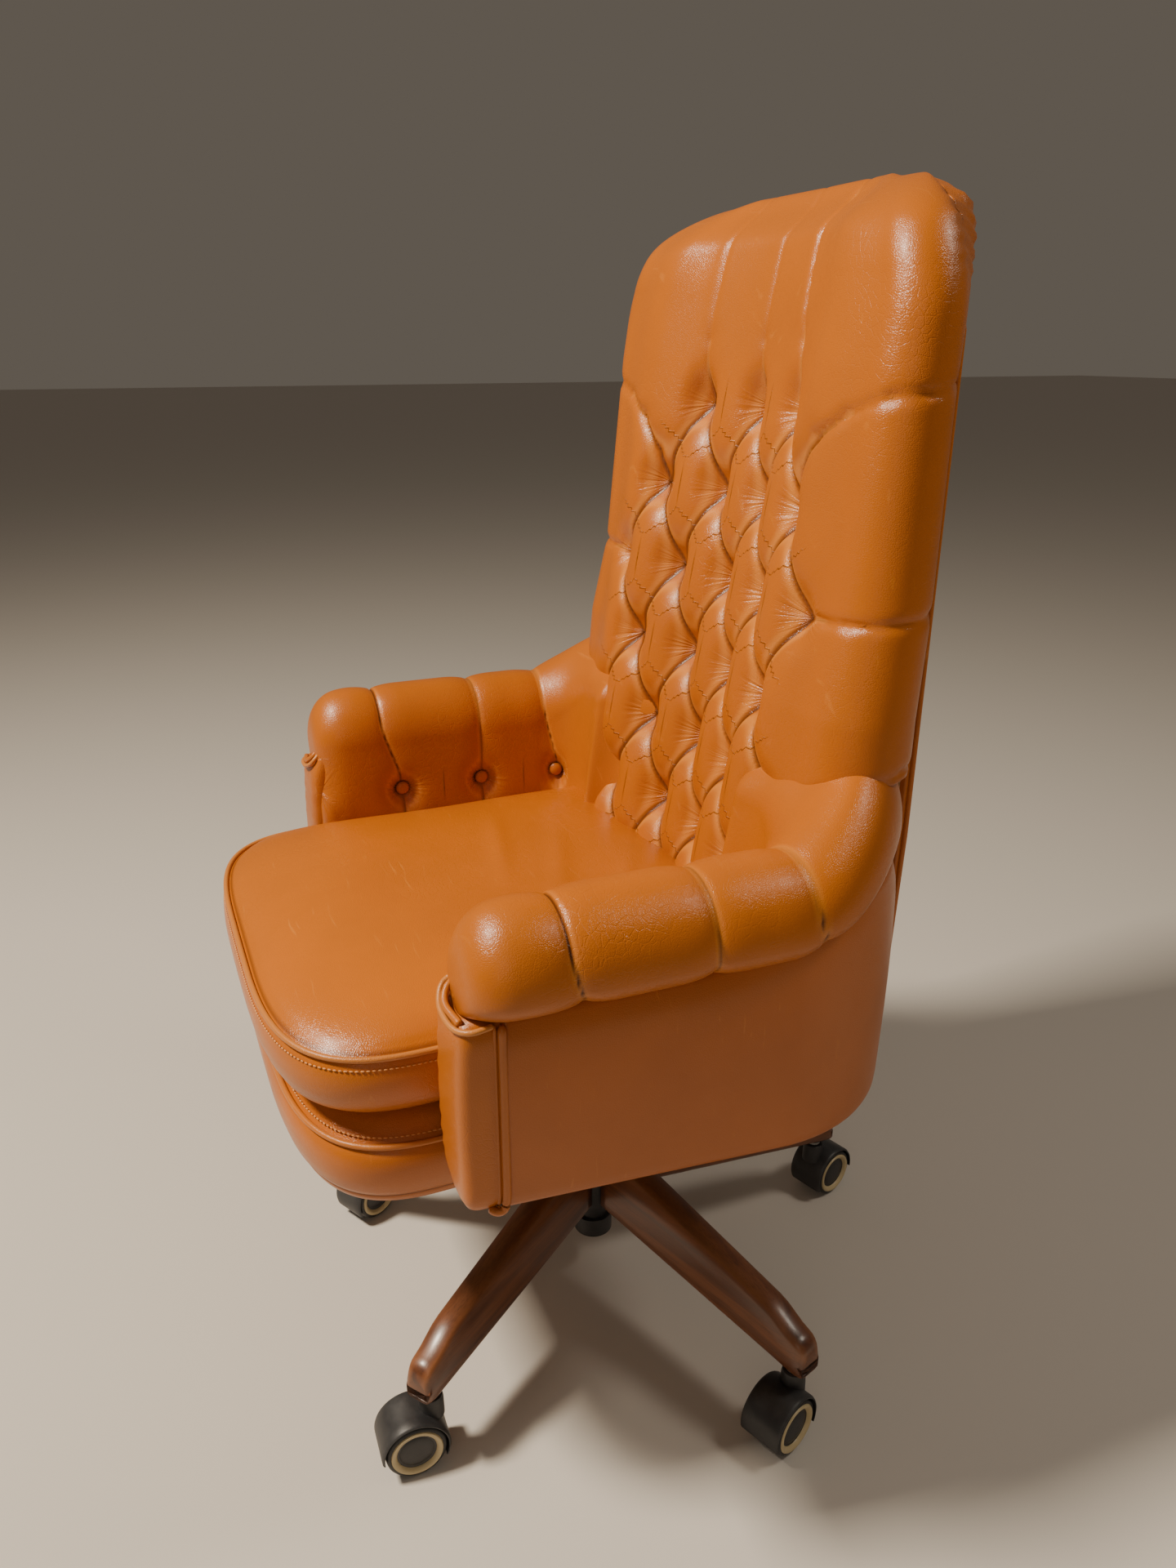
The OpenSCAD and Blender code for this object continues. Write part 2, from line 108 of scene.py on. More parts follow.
def close_and_face_out(piece, weld=0.0):
    """Fills the open rims of a shell and turns its faces outwards."""
    work = bmesh.new()
    work.from_mesh(piece.data)
    if weld:
        bmesh.ops.remove_doubles(work, verts=work.verts, dist=weld)
    rims = [e for e in work.edges if e.is_boundary]
    if rims:
        filled = bmesh.ops.holes_fill(work, edges=rims, sides=0)
        bmesh.ops.triangulate(work, faces=filled["faces"])
    bmesh.ops.recalc_face_normals(work, faces=work.faces)
    work.to_mesh(piece.data)
    work.free()


def finish(piece, body, nodes=()):
    """Hands a piece over: the body it rides on and the plain solids it stands for."""
    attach(piece, body)
    if nodes:
        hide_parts(*nodes)
    return piece


def mirrored(points):
    """The same points on the other side of the chair."""
    return np.asarray(points, float) * np.array([-1.0, 1.0, 1.0])


def smooth_path(points, count):
    """An even run of points along a smooth curve through the given ones."""
    points = np.asarray(points, float)
    ends = np.vstack([2 * points[0] - points[1], points, 2 * points[-1] - points[-2]])
    fine = []
    for k in range(1, len(ends) - 2):
        p0, p1, p2, p3 = ends[k - 1:k + 3]
        for t in np.linspace(0, 1, 24, endpoint=False):
            fine.append(0.5 * (2 * p1 + (p2 - p0) * t + (2 * p0 - 5 * p1 + 4 * p2 - p3) * t ** 2
                               + (3 * p1 - p0 - 3 * p2 + p3) * t ** 3))
    fine.append(ends[-2])
    fine = np.array(fine)
    run = np.concatenate([[0], np.cumsum(np.linalg.norm(np.diff(fine, axis=0), axis=1))])
    even = np.linspace(0, run[-1], count)
    return np.stack([np.interp(even, run, fine[:, k]) for k in range(3)], -1)


# ---- materials ----

class Sheet:
    """A node tree with short calls for adding and joining nodes."""

    def __init__(self, tree):
        self.tree = tree

    def add(self, kind, **settings):
        node = self.tree.nodes.new(kind)
        for name, value in settings.items():
            setattr(node, name, value)
        return node

    def join(self, source, target):
        self.tree.links.new(source, target)

    def feed(self, node, **inputs):
        for name, value in inputs.items():
            socket = node.inputs[name.replace("_", " ")]
            if isinstance(value, bpy.types.NodeSocket):
                self.join(value, socket)
            else:
                socket.default_value = value
        return node

    def maths(self, operation, *values):
        node = self.add("ShaderNodeMath", operation=operation)
        for k, value in enumerate(values):
            if isinstance(value, bpy.types.NodeSocket):
                self.join(value, node.inputs[k])
            else:
                node.inputs[k].default_value = value
        return node.outputs[0]

    def ramp(self, value, stops):
        node = self.add("ShaderNodeValToRGB")
        self.join(value, node.inputs["Fac"])
        while len(node.color_ramp.elements) < len(stops):
            node.color_ramp.elements.new(0.5)
        for element, (place, colour) in zip(node.color_ramp.elements, stops):
            element.position = place
            element.color = (*colour, 1) if len(colour) == 3 else colour
        return node.outputs["Color"]

    def noise(self, vector, scale, detail=4.0, roughness=0.5, distortion=0.0, output="Fac"):
        node = self.add("ShaderNodeTexNoise")
        self.feed(node, Vector=vector, Scale=scale, Detail=detail, Roughness=roughness, Distortion=distortion)
        return node.outputs[output]

    def mix(self, share, first, second):
        node = self.add("ShaderNodeMix", data_type="RGBA")
        for socket, value in ((node.inputs[0], share), (node.inputs[6], first), (node.inputs[7], second)):
            if isinstance(value, bpy.types.NodeSocket):
                self.join(value, socket)
            elif isinstance(value, (int, float)):
                socket.default_value = value
            else:
                socket.default_value = (*value, 1)
        return node.outputs[2]

    def spread(self, value, low, high, to_low=0.0, to_high=1.0):
        node = self.add("ShaderNodeMapRange")
        self.feed(node, Value=value, From_Min=low, From_Max=high, To_Min=to_low, To_Max=to_high)
        return node.outputs["Result"]

    def stretched(self, vector, scale, turn=(0.0, 0.0, 0.0)):
        node = self.add("ShaderNodeMapping")
        self.feed(node, Vector=vector, Scale=scale, Rotation=turn)
        return node.outputs[0]

    def place(self):
        return self.add("ShaderNodeTexCoord").outputs["Object"]

    def stored(self, name, output="Fac"):
        return self.add("ShaderNodeAttribute", attribute_name=name).outputs[output]

    def bump(self, height, strength, distance, **under):
        node = self.add("ShaderNodeBump")
        self.feed(node, Strength=strength, Distance=distance, Height=height, **under)
        return node.outputs["Normal"]


def group(name, inputs, outputs):
    """An empty shader group with the named sockets."""
    tree = bpy.data.node_groups.new(name, "ShaderNodeTree")
    for label, kind, value in inputs:
        socket = tree.interface.new_socket(label, in_out="INPUT", socket_type=kind)
        if value is not None:
            socket.default_value = value
    for label, kind in outputs:
        tree.interface.new_socket(label, in_out="OUTPUT", socket_type=kind)
    sheet = Sheet(tree)
    return sheet, sheet.add("NodeGroupInput"), sheet.add("NodeGroupOutput")


def hide_grain_group():
    """Pores, pebbled grain and fine creases of a leather hide."""
    sheet, source, out = group(
        "hide grain",
        [("Vector", "NodeSocketVector", None), ("Grain size", "NodeSocketFloat", 620.0),
         ("Crease depth", "NodeSocketFloat", 0.5)],
        [("Height", "NodeSocketFloat"), ("Patches", "NodeSocketFloat"), ("Scuffs", "NodeSocketFloat")])
    vector = source.outputs["Vector"]
    bend = sheet.noise(vector, 9.0, 2.0, output="Color")
    warped = sheet.add("ShaderNodeVectorMath", operation="MULTIPLY_ADD")
    sheet.join(bend, warped.inputs[0])
    warped.inputs[1].default_value = (0.03, 0.03, 0.03)
    sheet.join(vector, warped.inputs[2])
    pebble = sheet.add("ShaderNodeTexVoronoi", feature="DISTANCE_TO_EDGE")
    sheet.feed(pebble, Vector=vector, Scale=source.outputs["Grain size"], Randomness=1.0)
    pebbles = sheet.spread(pebble.outputs["Distance"], 0.0, 0.22)
    fine = sheet.noise(vector, 1500.0, 2.0)
    crease = sheet.add("ShaderNodeTexVoronoi", feature="DISTANCE_TO_EDGE")
    sheet.feed(crease, Vector=warped.outputs[0], Scale=125.0, Randomness=1.0)
    creases = sheet.spread(crease.outputs["Distance"], 0.0, 0.07)
    where = sheet.spread(sheet.noise(vector, 7.0, 2.0), 0.45, 0.65)
    depth = sheet.maths("MULTIPLY", sheet.maths("MULTIPLY", sheet.maths("SUBTRACT", 1.0, creases), where),
                        sheet.maths("MULTIPLY", source.outputs["Crease depth"], 0.7))
    height = sheet.maths("ADD", sheet.maths("MULTIPLY", pebbles, 0.22), sheet.maths("MULTIPLY", fine, 0.12))
    sheet.join(sheet.maths("SUBTRACT", height, depth), out.inputs["Height"])
    sheet.join(sheet.noise(vector, 5.5, 5.0, 0.6), out.inputs["Patches"])
    drawn_out = sheet.stretched(warped.outputs[0], (14.0, 260.0, 40.0), (0.5, 0.9, 0.4))
    streaks = sheet.noise(drawn_out, 1.0, 3.0, 0.55)
    sheet.join(sheet.spread(streaks, 0.66, 0.74), out.inputs["Scuffs"])
    return sheet.tree


def gathers_group():
    """Small folds that run out sideways from where leather is pulled down or sewn in."""
    sheet, source, out = group(
        "gathers", [("Reach", "NodeSocketVector", None), ("Count", "NodeSocketFloat", 7.0)],
        [("Height", "NodeSocketFloat"), ("Mask", "NodeSocketFloat")])
    parts = sheet.add("ShaderNodeSeparateXYZ")
    sheet.join(source.outputs["Reach"], parts.inputs[0])
    across, up, seed = parts.outputs
    side = sheet.maths("ABSOLUTE", across)
    angle = sheet.maths("ARCTAN2", up, sheet.maths("ADD", side, 0.0001))
    distance = sheet.maths("SQRT", sheet.maths("ADD", sheet.maths("MULTIPLY", across, across),
                                               sheet.maths("MULTIPLY", up, up)))
    place = sheet.add("ShaderNodeCombineXYZ")
    sheet.join(sheet.maths("MULTIPLY", angle, source.outputs["Count"]), place.inputs[0])
    sheet.join(sheet.maths("MULTIPLY", distance, 14.0), place.inputs[1])
    sheet.join(sheet.maths("ADD", seed, sheet.maths("SIGN", across)), place.inputs[2])
    folds = sheet.noise(place.outputs[0], 1.0, 1.5, 0.5)
    near = sheet.maths("MULTIPLY", sheet.spread(distance, 0.002, 0.034, 1.0, 0.0),
                       sheet.spread(distance, 0.0, 0.0005))
    flat = sheet.spread(sheet.maths("ABSOLUTE", angle), 0.45, 1.15, 1.0, 0.0)
    mask = sheet.maths("MULTIPLY", near, flat)
    sheet.join(sheet.maths("MULTIPLY", folds, mask), out.inputs["Height"])
    sheet.join(mask, out.inputs["Mask"])
    return sheet.tree


def principled(name):
    """A new material, its sheet and its main shader."""
    material = bpy.data.materials.new(name)
    material.use_nodes = True
    sheet = Sheet(material.node_tree)
    shader = next(n for n in material.node_tree.nodes if n.type == "BSDF_PRINCIPLED")
    return material, sheet, shader


def place_group(sheet, tree, **inputs):
    """Puts one of the shared groups into a material."""
    node = sheet.add("ShaderNodeGroup", node_tree=tree)
    return sheet.feed(node, **inputs)


def leather(name, groups, base=(0.46, 0.122, 0.006), pale=(0.70, 0.27, 0.045), dark=(0.095, 0.022, 0.002),
            crease_depth=0.6, gloss=0.33, worn=0.0):
    """Semi-gloss cognac leather.

    Reads a crease value (1 at the bottom of a fold), which darkens the colour there as painted shade; edge (1
    where it rubs, and on the tuft lips of the back and arms also a painted highlight, paling the colour); and
    reach (away from the nearest pull).
    """
    material, sheet, shader = principled(name)
    grain = place_group(sheet, groups["grain"], Vector=sheet.place(), Crease_depth=crease_depth)
    folds = place_group(sheet, groups["gathers"], Reach=sheet.stored("reach", "Vector"))
    patches = grain.outputs["Patches"]
    # Paler where it rubs: wear, and on the tuft lips of the back and arms also a painted highlight.
    rubbed = sheet.maths("MULTIPLY", sheet.stored("edge"), 0.55)
    scuffs = sheet.maths("MULTIPLY", grain.outputs["Scuffs"], 0.16 + worn)
    colour = sheet.mix(sheet.spread(patches, 0.35, 0.68), base, [0.86 * c for c in base])
    colour = sheet.mix(scuffs, colour, pale)
    colour = sheet.mix(rubbed, colour, pale)
    # Painted shade: the dark colour laid into the bottom of folds, seams, grooves and button pits.
    colour = sheet.mix(sheet.spread(sheet.stored("crease_shade"), 0.35, 0.9, 0.0, 0.95), colour, dark)
    skin = sheet.bump(grain.outputs["Height"], 0.42, 0.0009)
    sheet.feed(shader, Base_Color=colour, Specular_IOR_Level=0.42, Coat_Weight=0.07, Coat_Roughness=0.24,
               Roughness=sheet.spread(patches, 0.3, 0.7, gloss - 0.07, gloss + 0.04),
               Normal=sheet.bump(folds.outputs["Height"], 0.8, 0.004, Normal=skin))
    return material


def lacquered_wood(name):
    """Red-brown wood with rings and pores along its own grain attribute, paler on its worn edges."""
    material, sheet, shader = principled(name)
    along = sheet.stored("grain", "Vector")
    rings = sheet.noise(sheet.stretched(along, (3.0, 46.0, 46.0)), 1.0, 5.0, 0.6, 0.6)
    pores = sheet.noise(sheet.stretched(along, (30.0, 900.0, 900.0)), 1.0, 3.0, 0.6)
    colour = sheet.ramp(rings, [(0.30, (0.055, 0.016, 0.006)), (0.5, (0.125, 0.038, 0.012)),
                                (0.72, (0.215, 0.073, 0.024))])
    colour = sheet.mix(sheet.spread(pores, 0.5, 0.7, 0.0, 0.45), colour, (0.035, 0.010, 0.004))
    colour = sheet.mix(sheet.maths("MULTIPLY", sheet.stored("edge"), 0.5), colour, (0.30, 0.115, 0.04))
    sheet.feed(shader, Base_Color=colour, Roughness=sheet.spread(rings, 0.3, 0.7, 0.34, 0.46),
               Coat_Weight=0.35, Coat_Roughness=0.22, Normal=sheet.bump(pores, 0.12, 0.0008))
    return material


def plain_wood(name):
    """Bare board."""
    material, sheet, shader = principled(name)
    rings = sheet.noise(sheet.stretched(sheet.place(), (6.0, 60.0, 120.0)), 1.0, 4.0, 0.6)
    colour = sheet.ramp(rings, [(0.3, (0.36, 0.22, 0.11)), (0.7, (0.58, 0.41, 0.24))])
    sheet.feed(shader, Base_Color=colour, Roughness=sheet.spread(rings, 0.3, 0.7, 0.55, 0.7))
    return material


def moulded(name, colour, rough, speck=0.25):
    """Moulded plastic with a fine spark-eroded skin and light dust."""
    material, sheet, shader = principled(name)
    skin = sheet.noise(sheet.place(), 1400.0, 3.0)
    dust = sheet.noise(sheet.place(), 35.0, 5.0, 0.65)
    pale = [c + speck * 0.16 for c in colour]
    sheet.feed(shader, Base_Color=sheet.mix(sheet.spread(dust, 0.45, 0.75, 0.0, 0.6), colour, pale),
               Roughness=sheet.spread(dust, 0.3, 0.7, rough - 0.05, rough + 0.12),
               Normal=sheet.bump(skin, 0.25, 0.0004))
    return material


def metal(name, colour, rough, brushed=True, metallic=1.0):
    """Metal with fine brushed lines, or an even coated skin."""
    material, sheet, shader = principled(name)
    scale = (900.0, 900.0, 40.0) if brushed else (300.0, 300.0, 300.0)
    lines = sheet.noise(sheet.stretched(sheet.place(), scale), 1.0, 3.0)
    sheet.feed(shader, Base_Color=sheet.mix(lines, colour, [0.8 * c for c in colour]), Metallic=metallic,
               Roughness=sheet.spread(lines, 0.3, 0.7, rough - 0.06, rough + 0.1),
               Normal=sheet.bump(lines, 0.1, 0.0003))
    return material


def make_materials():
    groups = {"grain": hide_grain_group(), "gathers": gathers_group()}
    return {
        "leather": leather("cognac hide", groups),
        # A darker copy of the hide for the outside and rear panels, which stand in shade: painted shade.
        "panel": leather("shaded panel hide", groups, base=(0.42, 0.107, 0.006), crease_depth=0.15, gloss=0.36),
        # A lighter copy of the hide for the seat's lit top: painted light. Its extra scuffs and deeper creases
        # are wear.
        "seat": leather("lit seat hide", groups, base=(0.49, 0.132, 0.006), crease_depth=0.9, gloss=0.31,
                        worn=0.12),
        "piping": leather("piping hide", groups, base=(0.44, 0.115, 0.007), pale=(0.76, 0.37, 0.10),
                          crease_depth=0.2, gloss=0.36, worn=0.2),
        "thread": moulded("waxed thread", (0.62, 0.27, 0.08), 0.6),
        "wood": lacquered_wood("red-brown lacquered wood"),
        "ply": plain_wood("plywood"),
        "nylon": moulded("black nylon", (0.022, 0.022, 0.024), 0.42),
        "tread": moulded("wheel tread", (0.014, 0.014, 0.015), 0.5),
        "ring": moulded("cream ring", (0.50, 0.40, 0.22), 0.35, speck=0.4),
        "black_steel": metal("black coated steel", (0.020, 0.020, 0.022), 0.45, brushed=False,
                             metallic=0.0),
        "bright_steel": metal("zinc-plated steel", (0.58, 0.58, 0.57), 0.3),
    }


MATERIALS = make_materials()


# ---- back ----

PULL_STEP_X = 0.045
PULL_STEP_Z = 0.080
TOP_PULL_Z = 0.955
PULL_ROWS = [(0, 2), (1, 3), (0, 4), (1, 3), (0, 4), (1, 3), (0, 2)]
FRONT_FLAT = 0.225
WING_PAD = 0.012
BACK_TOP = 1.137
BACK_LOW = 0.452
CORNER_R = 0.110
TOP_R = 0.080
WING_LEVELS = [0.60, 0.72, 0.80, 0.995, 1.06, 1.14]
WING_R = [0.052, 0.0478, 0.0420, 0.0350, 0.0320, 0.0320]
WING_Y = [0.138, 0.1447, 0.1565, 0.1674, 0.1740, 0.1770]
RAKE = math.tan(math.radians(10.3))
REAR_RAKE = math.tan(math.radians(2.6))


def pulls():
    """Where the leather is pulled down, as (x, z), row by row: staggered like bricks."""
    points = []
    for row, (start, last) in enumerate(PULL_ROWS):
        z = TOP_PULL_Z - row * PULL_STEP_Z
        for m in range(start, last + 1, 2):
            for x in {m * PULL_STEP_X, -m * PULL_STEP_X}:
                points.append((x, z))
    return points


def pull_plane(x, z):
    """The hollowed, raked surface that the pulls lie on."""
    return 0.127 + RAKE * (z - 0.635) - 0.030 * smoothstep(0, 0.20, np.abs(x))


def rear_plane(z):
    """The flat rear of the padding, just inside the outside of the back."""
    return rear_face(z) - 0.012


def pleats():
    """Sewn and folded lines on the back: start, end, depth at start, depth at end, half-width of the puff."""
    places = pulls()
    lines = []
    for x, z in places:
        for side in (-1, 1):
            end = (x + side * PULL_STEP_X, z - PULL_STEP_Z)
            if any(abs(end[0] - a) < 1e-6 and abs(end[1] - b) < 1e-6 for a, b in places):
                lines.append(((x, z), end, 1.0, 1.0, 0.037))
    for x, lean in ((-2, 0.004), (0, 0.004), (2, -0.018)):
        foot = (x * PULL_STEP_X, TOP_PULL_Z)
        bend = (x * PULL_STEP_X + lean * 0.15, 1.010)
        head = (x * PULL_STEP_X + lean, 1.125)
        over = (head[0] + lean * 0.3, 1.25)
        strength = 0.26 if x < 2 else 0.50
        lines.append((foot, bend, 1.0, strength + 0.1, 0.030))
        lines.append((bend, head, strength, strength, 0.011))
        lines.append((head, over, strength, strength * 0.6, 0.011))
    shoulder = [(0.135, 0.875), (0.143, 0.905), (0.166, 0.936), (0.200, 0.958), (0.240, 0.974),
                (0.300, 0.985)]
    waist = [(0.180, 0.795), (0.235, 0.800), (0.300, 0.808)]
    hip = [(0.180, 0.635), (0.215, 0.650), (0.245, 0.664), (0.300, 0.680)]
    for path in (shoulder, waist, hip):
        path = path + [(0.42, path[-1][1] + 0.006)]
        for a, b in zip(path, path[1:]):
            depth_a, depth_b = (float(1 - 0.62 * smoothstep(0.14, 0.23, p[0])) for p in (a, b))
            width = 0.036 - 0.025 * float(smoothstep(0.138, 0.205, b[0]))
            for side in (-1, 1):
                lines.append(((side * a[0], a[1]), (side * b[0], b[1]), depth_a, depth_b, width))
    return lines


def hip_line(u):
    """Height of the seam where the wing of the back meets the arm."""
    u = np.abs(u)
    return np.interp(u, [0.135, 0.180, 0.225, 0.262, 0.60], [0.555, 0.630, 0.652, 0.672, 0.692])


def back_ring(z):
    """One level of the back before padding: its points, and their distance across from the middle."""
    over = max(0.0, z - (BACK_TOP - CORNER_R))
    narrow = CORNER_R - math.sqrt(max(CORNER_R ** 2 - over ** 2, 0))
    wing_r = np.interp(z, WING_LEVELS, WING_R) - WING_PAD
    wing_y = np.interp(z, WING_LEVELS, WING_Y)
    flat = FRONT_FLAT - narrow
    fine = np.arange(0, 81) * (PULL_STEP_X / 20)
    outer = np.linspace(fine[-1], FRONT_FLAT, 12)[1:]
    u = np.concatenate([fine, outer])
    x = np.where(u <= 0.08, u, 0.08 + (u - 0.08) * (flat - 0.08) / (FRONT_FLAT - 0.08))
    y = pull_plane(x, z)
    y += (wing_y - wing_r - y) * smoothstep(0.10, 0.235, u) / float(smoothstep(0.10, 0.235, FRONT_FLAT))
    turn = np.radians(np.linspace(-90, 50, 24)[1:])
    edge_x = flat + wing_r * np.cos(turn)
    edge_y = wing_y + wing_r * np.sin(turn)
    rear = rear_plane(z)
    corner_x = min(0.185, edge_x[-1] - 0.01)
    share = np.linspace(0, 1, 8)[1:]
    slope_x = edge_x[-1] + (corner_x - edge_x[-1]) * share
    slope_y = edge_y[-1] + (rear - edge_y[-1]) * share
    back_x = np.linspace(corner_x, 0, 9)[1:]
    px = np.concatenate([x, edge_x, slope_x, back_x])
    py = np.concatenate([y, edge_y, slope_y, np.full(8, rear)])
    steps = np.hypot(np.diff(px), np.diff(py))
    run = np.concatenate([[0], np.cumsum(steps)])
    across = np.concatenate([u, FRONT_FLAT + run[len(u):] - run[len(u) - 1]])
    squeeze = max(0.0, z - (BACK_TOP - TOP_R)) / TOP_R
    thick = math.sqrt(max(1 - squeeze ** 2, 0.0004))
    middle = 0.5 * (y[0] + rear)
    py = middle + (py - middle) * thick
    px = np.concatenate([px, -px[-2:0:-1]])
    py = np.concatenate([py, py[-2:0:-1]])
    across = np.concatenate([across, -across[-2:0:-1]])
    return np.stack([px, py, np.full(len(px), z)], -1), across


def back_levels():
    """Heights of the back's levels, closer together over the top roll."""
    lower = np.arange(BACK_LOW, TOP_PULL_Z, PULL_STEP_Z / 22)
    upper = np.arange(TOP_PULL_Z, BACK_TOP - TOP_R, 0.0045)
    top = BACK_TOP - TOP_R + TOP_R * np.sin(np.radians(np.linspace(0, 88, 36)))
    return np.concatenate([lower, upper, top])


def back_padding():
    """The deep-buttoned front of the back with its wings and top roll, as one closed hide."""
    levels = back_levels()
    rings = [back_ring(z) for z in levels]
    base = np.array([r[0] for r in rings])
    u = np.array([r[1] for r in rings])
    z = base[..., 2]
    normals = grid_normals(base, True)
    middle = base.mean(axis=1, keepdims=True)
    if np.mean(np.sum(normals * (base - middle), -1)) < 0:
        normals = -normals
    puff = np.ones_like(u)
    fold = np.ones_like(u)
    for a, b, depth_a, depth_b, width in pleats():
        distance, t = segment_distance(u, z, a[0], a[1], b[0], b[1])
        depth = depth_a + (depth_b - depth_a) * t
        puff *= 1 - depth * (1 - quarter(distance / width))
        fold = np.minimum(fold, 1 - depth * (1 - np.clip(distance / 0.006, 0, 1)))
    pit = np.ones_like(u)
    reach = np.zeros(u.shape + (3,))
    nearest = np.full_like(u, 9.0)
    for k, (x0, z0) in enumerate(pulls()):
        distance = np.hypot(u - x0, (z - z0) * 0.9)
        pit = np.minimum(pit, 1 - np.exp(-(distance / 0.021) ** 2))
        closer = distance < nearest
        nearest = np.where(closer, distance, nearest)
        for axis, value in ((0, u - x0), (1, z - z0), (2, np.full_like(u, k * 3.7))):
            reach[..., axis] = np.where(closer, value, reach[..., axis])
    outer = smoothstep(0.15, 0.225, np.abs(u))
    height = 0.015 * pit * (1 - outer) + (0.013 * (1 - outer) + WING_PAD * outer) * puff
    corner = smoothstep(0.255, 0.275, np.abs(u)) * smoothstep(0.345, 0.325, np.abs(u))
    corner *= smoothstep(1.050, 1.070, z) * smoothstep(1.135, 1.12, z)
    gathers = np.sin(z * 2 * math.pi / 0.0125 + 3 * np.sin(u * 40))
    height += 0.0013 * corner * gathers
    tuck = np.clip(hip_line(u) - z, 0, 0.05) * smoothstep(0.138, 0.162, np.abs(u))
    height -= np.minimum(tuck * 1.2, 0.026)
    rolled = smoothstep(BACK_TOP - 0.60 * TOP_R, BACK_TOP - 0.03 * TOP_R, z)
    height *= 1 - 0.75 * rolled
    behind = smoothstep(0.32, 0.36, np.abs(u))
    height = height * (1 - behind) + 0.004 * behind
    points = base + normals * height[..., None]
    rows, cols = u.shape
    piece = new_piece("back_padding", points, grid_faces(rows, cols, True), MATERIALS["leather"])
    # Painted shade along the sewn and folded lines of the tufting.
    set_values(piece, "crease_shade", 1 - fold)
    # Paler lips beside the folds: wear, and partly a painted highlight.
    set_values(piece, "edge", lip_wear_and_highlight(puff))
    set_values(piece, "reach", reach)
    close_and_face_out(piece)
    return finish(piece, "seat", ["back_pad"])


def lip_wear_and_highlight(puff):
    """Paler leather just beside a fold: wear where it rubs, and partly a painted highlight on the lip."""
    return smoothstep(0.25, 0.40, puff) * (1 - smoothstep(0.45, 0.70, puff))


# ---- arms ----

ROLL_R = 0.056
ROLL_Z = 0.5835
TURN_X = 0.150
TURN_Y = 0.030
ROLL_OUT = 0.14
ARM_TIP_Y = -0.231
SEAMS = [(-0.157, -0.137), (-0.041, -0.041), (0.043, 0.062)]
BUTTON_Z = 0.527


def arm_stations():
    """Places along an arm: the front, the straight run, then the turn into the back."""
    cap = ARM_TIP_Y + ROLL_R * (1 - np.cos(np.radians(np.linspace(2, 90, 26))))
    straight = np.arange(cap[-1] + 0.003, TURN_Y, 0.003)
    turn = TURN_Y + np.radians(np.linspace(0, 124, 82)) * ROLL_OUT
    return np.concatenate([cap, straight, turn])


def turned_by(t):
    """How far the arm has turned in towards the back at a station, in radians."""
    return max(0.0, (t - TURN_Y) / ROLL_OUT)


def arm_section(t):
    """Outline of an arm at one station, from under the roll's outer edge over the top and down the inside."""
    turn = turned_by(t)
    rise = float(smoothstep(0, math.radians(50), turn))
    centre = ROLL_OUT - 0.010 * rise
    centre_z = ROLL_Z + 0.046 * rise
    inner = 0.0945 - 0.0510 * float(smoothstep(0, math.radians(82), turn))
    inner += 0.042 * float(smoothstep(math.radians(80), math.radians(126), turn))
    angle = np.radians(np.linspace(-80, 180, 66))
    wide = np.where(angle < math.pi / 2, 0.0495, centre - inner)
    drop = 0.020 * rise * smoothstep(math.radians(60), math.radians(125), angle)
    tall = np.where(angle < 0, 0.024 + 0.010 * rise, ROLL_R + 0.010 * rise - drop)
    roll = np.stack([centre + wide * np.cos(angle), centre_z + tall * np.sin(angle)], -1)
    down = np.linspace(0, 1, 30)[1:]
    z = roll[-1, 1] + (0.425 - roll[-1, 1]) * down
    lean = 0.13 * math.sin(min(turn, math.pi / 2)) * (z - roll[-1, 1])
    r = inner + lean - 0.003 * np.sin(math.pi * down)
    face = np.stack([r, z], -1)
    hidden = np.stack([np.full(4, r[-1] + 0.022), np.linspace(0.425, centre_z - 0.04, 4)], -1)
    return np.vstack([roll, face, hidden]), len(roll) + len(face)


def place_section(section, t):
    """Stands an arm's outline at its station."""
    turn = turned_by(t)
    r, z = section[:, 0], section[:, 1].copy()
    y = min(t, TURN_Y)
    back = max(0.0, (ARM_TIP_Y + ROLL_R - t) / ROLL_R)
    if back > 0:
        shrink = max(1 - back ** 2.8, 0.0) ** 0.36
        upper = smoothstep(0.505, 0.560, z)
        soft = 0.012 * (1 - float(quarter((t - ARM_TIP_Y) / 0.014)))
        low_r = r + soft * (r < 0.12)
        high_r = ROLL_OUT + (r - ROLL_OUT) * (0.25 + 0.75 * shrink)
        r = low_r + (high_r - low_r) * upper
        z = np.where(z > ROLL_Z, ROLL_Z + (z - ROLL_Z) * shrink, z)
    return np.stack([TURN_X + r * math.cos(turn), y + r * math.sin(turn), z], -1)


